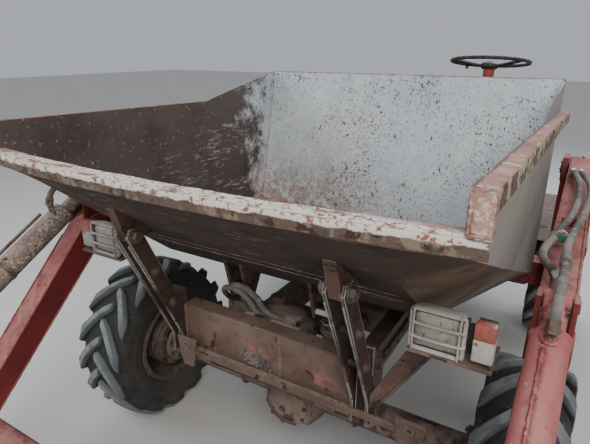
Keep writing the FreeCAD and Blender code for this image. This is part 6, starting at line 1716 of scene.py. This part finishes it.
def rear_fittings():
    """Tail lamps, reflectors, tow pin, weight bolts and welds at the back."""
    piece = Piece("rear_fittings", "chassis", "weight_casting", weight_paint, steel, black_plastic, red_lens, orange_lens,
                  bright_steel)
    face = 1.9975
    for side in SIDES:
        x = 0.385 * side
        # recess box with two lenses
        piece.box((x - 0.060, face - 0.0065, 0.665), (x + 0.060, face - 0.0008, 0.735), 2, 0.002)
        piece.box((x - 0.054, face - 0.004, 0.671), (x - 0.002, face - 0.0004, 0.729), 3, 0.0015)
        piece.box((x + 0.002, face - 0.004, 0.671), (x + 0.054, face - 0.0004, 0.729), 4, 0.0015)
        piece.lathe([(0, 0), (0.024, 0), (0.024, 0.003), (0.020, 0.0035), (0, 0.0035)], (x, face - 0.0038, 0.60), (0, 1, 0), 3, 28)
        for z in (0.50, 0.745):
            piece.rod((0.44 * side, face - 0.004, z), (0.44 * side, face - 0.0004, z), 0.015, 1, 6)
            piece.rod((0.20 * side, face - 0.004, z), (0.20 * side, face - 0.0004, z), 0.015, 1, 6)
        piece.bead((0.4705 * side, 1.914, 0.465), (0.4705 * side, 1.914, 0.775), 0.004, 0, 71)
    # tow pin with its ring handle
    piece.rod((0, 1.9655, 0.440), (0, 1.9655, 0.782), 0.0155, 1, 24)
    piece.rod((0, 1.9655, 0.780), (0, 1.9655, 0.790), 0.024, 1, 24)
    loop = []
    for step in range(25):
        angle = math.tau * step / 24
        loop.append(Vector((math.sin(angle) * 0.026, 1.9655, 0.812 - math.cos(angle) * 0.026)))
    rings = tube_rings(loop, 0.0048, 9)
    rings[-1] = rings[0]
    piece.loft(rings[:-1] + [rings[0]], 1, caps=False)
    piece.done(36)


def exhaust_and_tank():
    """The exhaust's shield, clamps, collar and hinge pin, the tank's cap and straps."""
    piece = Piece("exhaust_fittings", "chassis", "bare_steel", pipe_rust, steel, painted_shade_and_soot)
    x, y = -0.54, 1.1425
    for z in (0.815, 1.165):
        piece.lathe([(0.0505, 0), (0.0545, 0.001), (0.0545, 0.013), (0.0505, 0.014)], (x, y, z), (0, 0, 1), 0, 40, closed=True)
    # perforated guard: a curved sheet of upright strips held off the silencer
    for index in range(11):
        angle = math.radians(-110 + index * 22)
        out = Vector((-math.cos(angle), math.sin(angle), 0))
        spot = Vector((x, y, 0)) + out * 0.0605
        piece.rod(spot + Vector((0, 0, 0.835)), spot + Vector((0, 0, 1.155)), 0.0028, 1, 8)
    for z in (0.845, 0.995, 1.145):
        arc = [Vector((x, y, z)) + Vector((-math.cos(math.radians(a)), math.sin(math.radians(a)), 0)) * 0.0605
               for a in range(-112, 113, 14)]
        piece.pipe(arc, 0.0034, 1, 8, 1)
    piece.lathe([(0.0245, 0), (0.0275, 0.001), (0.0275, 0.030), (0.0245, 0.031)], (x, y, 1.185), (0, 0, 1), 0, 32, closed=True)
    piece.bolt((x + 0.029, y, 1.20), (1, 0, 0), 0.006, 0.006, 1)
    # rain flap hinged on the pipe's mouth, standing half open
    # a cup in the pipe's mouth, a hinge pin at its back edge and a collar round it
    mouth = Vector((x, y, 1.4385))
    # the cup inside the mouth is near-black: painted shade and soot
    piece.lathe([(0.0200, -0.06), (0.0200, 0.001), (0, 0.001)], mouth - Vector((0, 0, 0.03)), (0, 0, 1), 2, 24)
    piece.rod(mouth + Vector((-0.022, 0.025, -0.008)), mouth + Vector((0.022, 0.025, -0.008)), 0.004, 1, 10)
    piece.lathe([(0.0243, 0), (0.0262, 0), (0.0262, 0.012), (0.0243, 0.012)], mouth - Vector((0, 0, 0.012)), (0, 0, 1), 0, 32,
                closed=True)
    piece.done(36)
    tank = Piece("fuel_tank_fittings", "chassis", "cover_paint", cover_red, steel, black_plastic, pipe_grey)
    for at in (-0.56, -0.37):
        for low, high in (((at, 0.8868, 0.505), (at + 0.028, 0.8887, 0.779)), ((at, 1.0383, 0.505), (at + 0.028, 1.0402, 0.779)),
                          ((at, 0.8868, 0.4985), (at + 0.028, 1.0402, 0.5005))):
            tank.box(low, high, 1, 0.0005)
        tank.bolt((at + 0.014, 0.8868, 0.76), (0, -1, 0), 0.006, 0.006, 1)
    tank.rod((-0.6345, 0.965, 0.70), (-0.6300, 0.965, 0.70), 0.034, 1, 28)
    tank.lathe([(0, 0), (0.029, 0), (0.031, 0.003), (0.031, 0.016), (0.027, 0.020), (0, 0.021)], (-0.6340, 0.965, 0.70), (-1, 0, 0), 2, 28)
    tank.rod((-0.45, 0.965, 0.5005), (-0.45, 0.965, 0.492), 0.011, 1, 6)
    tank.pipe([(-0.33, 0.91, 0.497), (-0.31, 0.91, 0.485), (-0.26, 0.93, 0.482), (-0.18, 0.96, 0.50), (-0.13, 0.98, 0.53)], 0.006, 3, 9, 5)
    tank.done(36)


def engine():
    """A three cylinder air cooled diesel inside the space of its CAD block."""
    low, high = (Vector(corner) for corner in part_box("engine_block"))
    size = high - low

    def at(x, y, z):
        return low + Vector((size.x * x, size.y * y, size.z * z))

    piece = Piece("engine", "chassis", "axle_casting", iron, steel, pipe_rust, black_plastic, pipe_grey, dirt_look)
    piece.box(at(0.24, 0.16, 0.0), at(0.76, 0.97, 0.40), 0, 0.012)
    piece.box(at(0.20, 0.14, 0.39), at(0.80, 0.98, 0.43), 0, 0.004)
    piece.box(at(0.20, 0.14, 0.05), at(0.80, 0.98, 0.08), 0, 0.004)
    for x in (0.205, 0.795):
        for step in range(9):
            piece.bolt(at(x, 0.19 + 0.09 * step, 0.43), (0, 0, 1), 0.007, 0.006, 1)
    # feet on the rails
    for x, wide in ((0.0, 0.26), (0.74, 1.0)):
        for y in (0.20, 0.84):
            piece.box(at(x, y - 0.05, 0.0), at(wide, y + 0.05, 0.045), 0, 0.005)
            piece.bolt(at((x + wide) / 2, y, 0.045), (0, 0, 1), 0.012, 0.010, 1)
    # finned cylinders, heads and rocker covers
    radius = min(size.x * 0.24, size.y * 0.105)
    for index in range(3):
        y = 0.32 + 0.255 * index
        profile = [(0, 0)]
        for fin in range(9):
            base = fin * size.z * 0.030
            profile += [(radius * 0.8, base), (radius * 0.8, base + size.z * 0.016),
                        (radius, base + size.z * 0.018), (radius, base + size.z * 0.028)]
        profile += [(radius * 0.8, size.z * 0.27), (0, size.z * 0.27)]
        piece.lathe(profile, at(0.5, y, 0.43), (0, 0, 1), 0, 30)
        piece.box(at(0.5, y, 0.70) - Vector((radius, radius * 0.94, 0)), at(0.5, y, 0.80) + Vector((radius, radius * 0.94, 0)),
                  0, 0.008)
        piece.box(at(0.5, y, 0.80) - Vector((radius * 0.72, radius * 0.74, 0)),
                  at(0.5, y, 0.89) + Vector((radius * 0.72, radius * 0.74, 0)), 5, 0.014)
        for sx in SIDES:
            piece.bolt(at(0.5, y, 0.89) + Vector((radius * 0.4 * sx, 0, 0)), (0, 0, 1), 0.008, 0.007, 1)
        # exhaust branch on the right, injector line on the left
        branch = at(0.5, y, 0.75) + Vector((-radius, 0, 0))
        piece.pipe([branch, branch + Vector((-0.030, 0, -0.004)), at(0.10, y - 0.02, 0.66)], 0.017, 2, 14, 5)
        nozzle = at(0.5, y, 0.79) + Vector((radius * 0.97, 0.02, 0))
        piece.pipe([at(0.80, 0.46 + 0.05 * index, 0.50), at(0.90, 0.46 + 0.06 * index, 0.62), at(0.88, y, 0.74), nozzle],
                   0.0035, 1, 8, 5)
        piece.rod(nozzle, nozzle + Vector((0.010, 0, 0.004)), 0.008, 1, 6)
    piece.pipe([at(0.10, 0.24, 0.66), at(0.10, 0.55, 0.665), at(0.10, 0.86, 0.66)], 0.024, 2, 16, 3)
    # injection pump, filters and filler on the left
    piece.box(at(0.77, 0.40, 0.24), at(0.93, 0.68, 0.46), 4, 0.010)
    for y, z, wide, look in ((0.25, 0.30, 0.038, 5), (0.83, 0.42, 0.034, 3)):
        piece.lathe([(0, 0), (wide, 0), (wide, size.z * 0.20), (wide * 0.8, size.z * 0.22), (wide * 0.8, size.z * 0.25), (0, size.z * 0.25)],
                    at(0.86, y, z - 0.12), (0, 0, 1), look, 24)
    # fan housing, blades, crank pulley and belt at the front end
    centre = at(0.5, 0.15, 0.60)
    ring = size.z * 0.27
    piece.lathe([(ring * 0.86, 0), (ring, 0), (ring, 0.062), (ring * 0.95, 0.068), (ring * 0.86, 0.068)], centre, (0, -1, 0), 5, 48,
                closed=True)
    piece.lathe([(0, 0), (ring * 0.3, 0), (ring * 0.3, 0.050), (ring * 0.18, 0.058), (0, 0.060)], centre, (0, -1, 0), 4, 28)
    for step in range(10):
        angle = math.tau * step / 10
        out = Vector((math.cos(angle), 0, math.sin(angle)))
        along = Vector((-math.sin(angle), 0, math.cos(angle)))
        piece.box(centre + Vector((-0.002, -0.045, ring * 0.28)), centre + Vector((0.002, -0.012, ring * 0.83)), 4, 0.0,
                  Matrix.Rotation(angle, 3, "Y") @ Matrix.Rotation(0.5, 3, "Z"), centre + Vector((0, -0.028, 0)))
    pulley = at(0.5, 0.14, 0.16)
    rim = size.z * 0.13
    piece.lathe([(0, 0), (rim, 0), (rim, 0.008), (rim * 0.88, 0.014), (rim, 0.020), (rim, 0.028), (0, 0.028)], pulley, (0, -1, 0),
                1, 36)
    for sx in SIDES:
        piece.pipe([pulley + Vector((rim * 0.94 * sx, -0.014, 0)), centre + Vector((ring * 0.29 * sx, -0.052, 0))], 0.006, 3, 8, 1)
    # air cleaner on top, behind the last cylinder
    can = at(0.32, 0.90, 0.86)
    wide = min(size.z * 0.12, high.z - can.z - 0.004)
    long = size.x * 0.40
    piece.lathe([(0, 0), (wide * 0.9, 0), (wide, 0.008), (wide, long * 0.6), (wide * 1.0, long * 0.62), (wide * 0.92, long), (0, long)],
                can, (1, 0, 0), 3, 32)
    made = piece.done(36)
    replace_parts(made, "engine_block")


def chassis_details():
    """Bolts, pipes in clips and welds along the rails."""
    piece = Piece("chassis_details", "chassis", "chassis_paint", frame_paint, steel, pipe_grey, hose_rubber)
    for side in SIDES:
        out = Vector((side, 0, 0))
        for y in (-0.33, -0.14, 0.30, 0.70, 1.10, 1.30, 1.75):
            for z in (0.535, 0.595):
                piece.bolt((0.3000 * side, y, z), out, 0.010, 0.008, 1)
        # pipes along the rails' outer faces, held in clips
        for step in range(2):
            z = 0.552 + step * 0.022
            piece.pipe([(0.3105 * side, -0.10, z), (0.3105 * side, 0.55, z), (0.3105 * side, 1.20, z)], 0.0075, 2, 10, 2)
        for y in (0.05, 0.42, 0.80, 1.15):
            piece.box((min(0.299 * side, 0.320 * side), y - 0.011, 0.541), (max(0.299 * side, 0.320 * side), y + 0.011, 0.586),
                      1, 0.003)
        for y in (-0.3975, -0.4275):
            piece.bead((0.2295 * side, y, 0.505), (0.2295 * side, y, 0.623), 0.004, 0, 81)
        piece.bead((0.2300 * side, -0.5385, 0.6275), (0.3000 * side, -0.5385, 0.6275), 0.004, 0, 82)
        for y in (0.8925, 0.8525):
            piece.bead((0.2300 * side, y, 0.6275), (0.3000 * side, y, 0.6275), 0.004, 0, 83)
    piece.done(36)
    steer = Piece("steering_fittings", "track_rod", "bare_steel", steel, bright_steel, black_plastic)
    for side in SIDES:
        x = 0.655 * side
        steer.lathe([(0, 0), (0.0235, 0), (0.0235, 0.006), (0.016, 0.010), (0, 0.011)], (x, 1.7125, 0.268), (0, 0, -1), 0, 24)
        steer.rod((x - 0.075 * side, 1.7125, 0.282), (x - 0.045 * side, 1.7125, 0.282), 0.0175, 0, 6)
        steer.rod((x - 0.11 * side, 1.7125, 0.282), (x - 0.078 * side, 1.7125, 0.282), 0.0155, 1, 20)
    steer.done(36)
    for word, side in (("left", 1), ("right", -1)):
        knuckle = Piece(f"knuckle_fittings_{word}", f"{word}_knuckle", "axle_casting", iron, steel)
        x = 0.655 * side
        for way in SIDES:
            knuckle.lathe([(0, 0), (0.017, 0), (0.017, 0.003), (0, 0.004)], (x, 1.5625, 0.38 + way * 0.114), (0, 0, way), 1, 20)
        knuckle.bolt((x, 1.7125, 0.3175 + 0.0005), (0, 0, 1), 0.013, 0.013, 1)
        for index in range(6):
            angle = math.tau * (index + 0.5) / 6
            spot = (0.6850 * side, 1.5625 + math.cos(angle) * 0.068, 0.38 + math.sin(angle) * 0.068)
            knuckle.bolt(spot, (-side, 0, 0), 0.008, 0.007, 1)
        knuckle.done(36)


# All pieces

for name, side, y in WHEELS:
    place = Vector((0.840 * side, y, 0.38))
    tyre(name + "_tyre", name + "_wheel", place, 0.13 if name.startswith("front") else 0.27)
    wheel_fittings(name + "_rim", name + "_wheel", place, side)
headlamp("headlamp_left", 1)
headlamp("headlamp_right", -1)
front_frame_details()
axle_details()
ram_lines()
skip_rim()
skip_fittings()
for word, side in (("left", 1), ("right", -1)):
    lamp_bracket_fittings(side)
    arm_fittings(word, side)
    tower_fittings(side)
    ram_fittings(f"crowd_{word}", "crowd_barrel", "crowd_rod", 0.864 * side, (-0.5375, 1.175), (-1.5475, 0.608),
                 0.042, 0.094, 0.695, 0.0235, crowd_paint, side < 0)
    ram_fittings(f"lift_{word}", "lift_barrel", "lift_rod", 0.864 * side, (0.7625, 0.480), (0.3225, 1.050),
                 0.038, 0.030, 0.612, 0.0213, cylinder_paint)
    ram_fittings(f"tip_{word}", "tip_barrel", "tip_rod", 0.180 * side, (-0.0725, 0.310), (-0.3775, 0.866),
                 0.038, 0.030, 0.538, 0.0213, cylinder_paint)
bucket_fittings()
cover_fittings()
seat_pads()
steering_wheel_and_console()
deck_fittings()
rear_fittings()
exhaust_and_tank()
chassis_details()
engine()

# Floor, light and camera

def stage_and_camera():
    bpy.ops.mesh.primitive_plane_add(size=60, location=(0, 0, -0.0005))
    floor = bpy.context.object
    floor.name = "studio_floor"
    floor.data.materials.append(floor_look())
    world = bpy.data.worlds.new("studio")
    world.use_nodes = True
    world.node_tree.nodes["Background"].inputs[0].default_value = (0.82, 0.86, 0.92, 1)
    world.node_tree.nodes["Background"].inputs[1].default_value = 0.55
    bpy.context.scene.world = world
    # Soft panels: place, what they face, width, power, colour
    panels = (
        ((3.0, -4.5, 5.0), (0, -0.4, 0.9), 3.5, 260, (1.0, 0.97, 0.93)),
        ((-4.5, -3.0, 3.5), (0, -0.4, 0.8), 3.0, 110, (0.92, 0.95, 1.0)),
        ((0.5, 4.5, 5.0), (0, 0.5, 0.8), 4.0, 200, (0.95, 0.97, 1.0)),
    )
    for spot, target, width, power, colour in panels:
        light = bpy.data.lights.new("panel", "AREA")
        light.shape = "DISK"
        light.size = width
        light.energy = power
        light.color = colour
        lamp = bpy.data.objects.new("panel", light)
        lamp.location = spot
        lamp.rotation_euler = (Vector(target) - Vector(spot)).to_track_quat("-Z", "Y").to_euler()
        bpy.context.collection.objects.link(lamp)
    camera = bpy.data.objects.new("photo_camera", bpy.data.cameras.new("photo_camera"))
    camera.data.sensor_width = 36
    camera.data.lens = 29.67
    right = Vector((0.8592, 0.5116, 0.0))
    up = Vector((-0.1726, 0.2898, 0.9414))
    back = right.cross(up)
    turn = Matrix((right, up, back)).transposed().to_4x4()
    camera.matrix_world = Matrix.Translation((0.852, -1.7185, 1.738)) @ turn
    bpy.context.collection.objects.link(camera)
    bpy.context.scene.camera = camera


stage_and_camera()
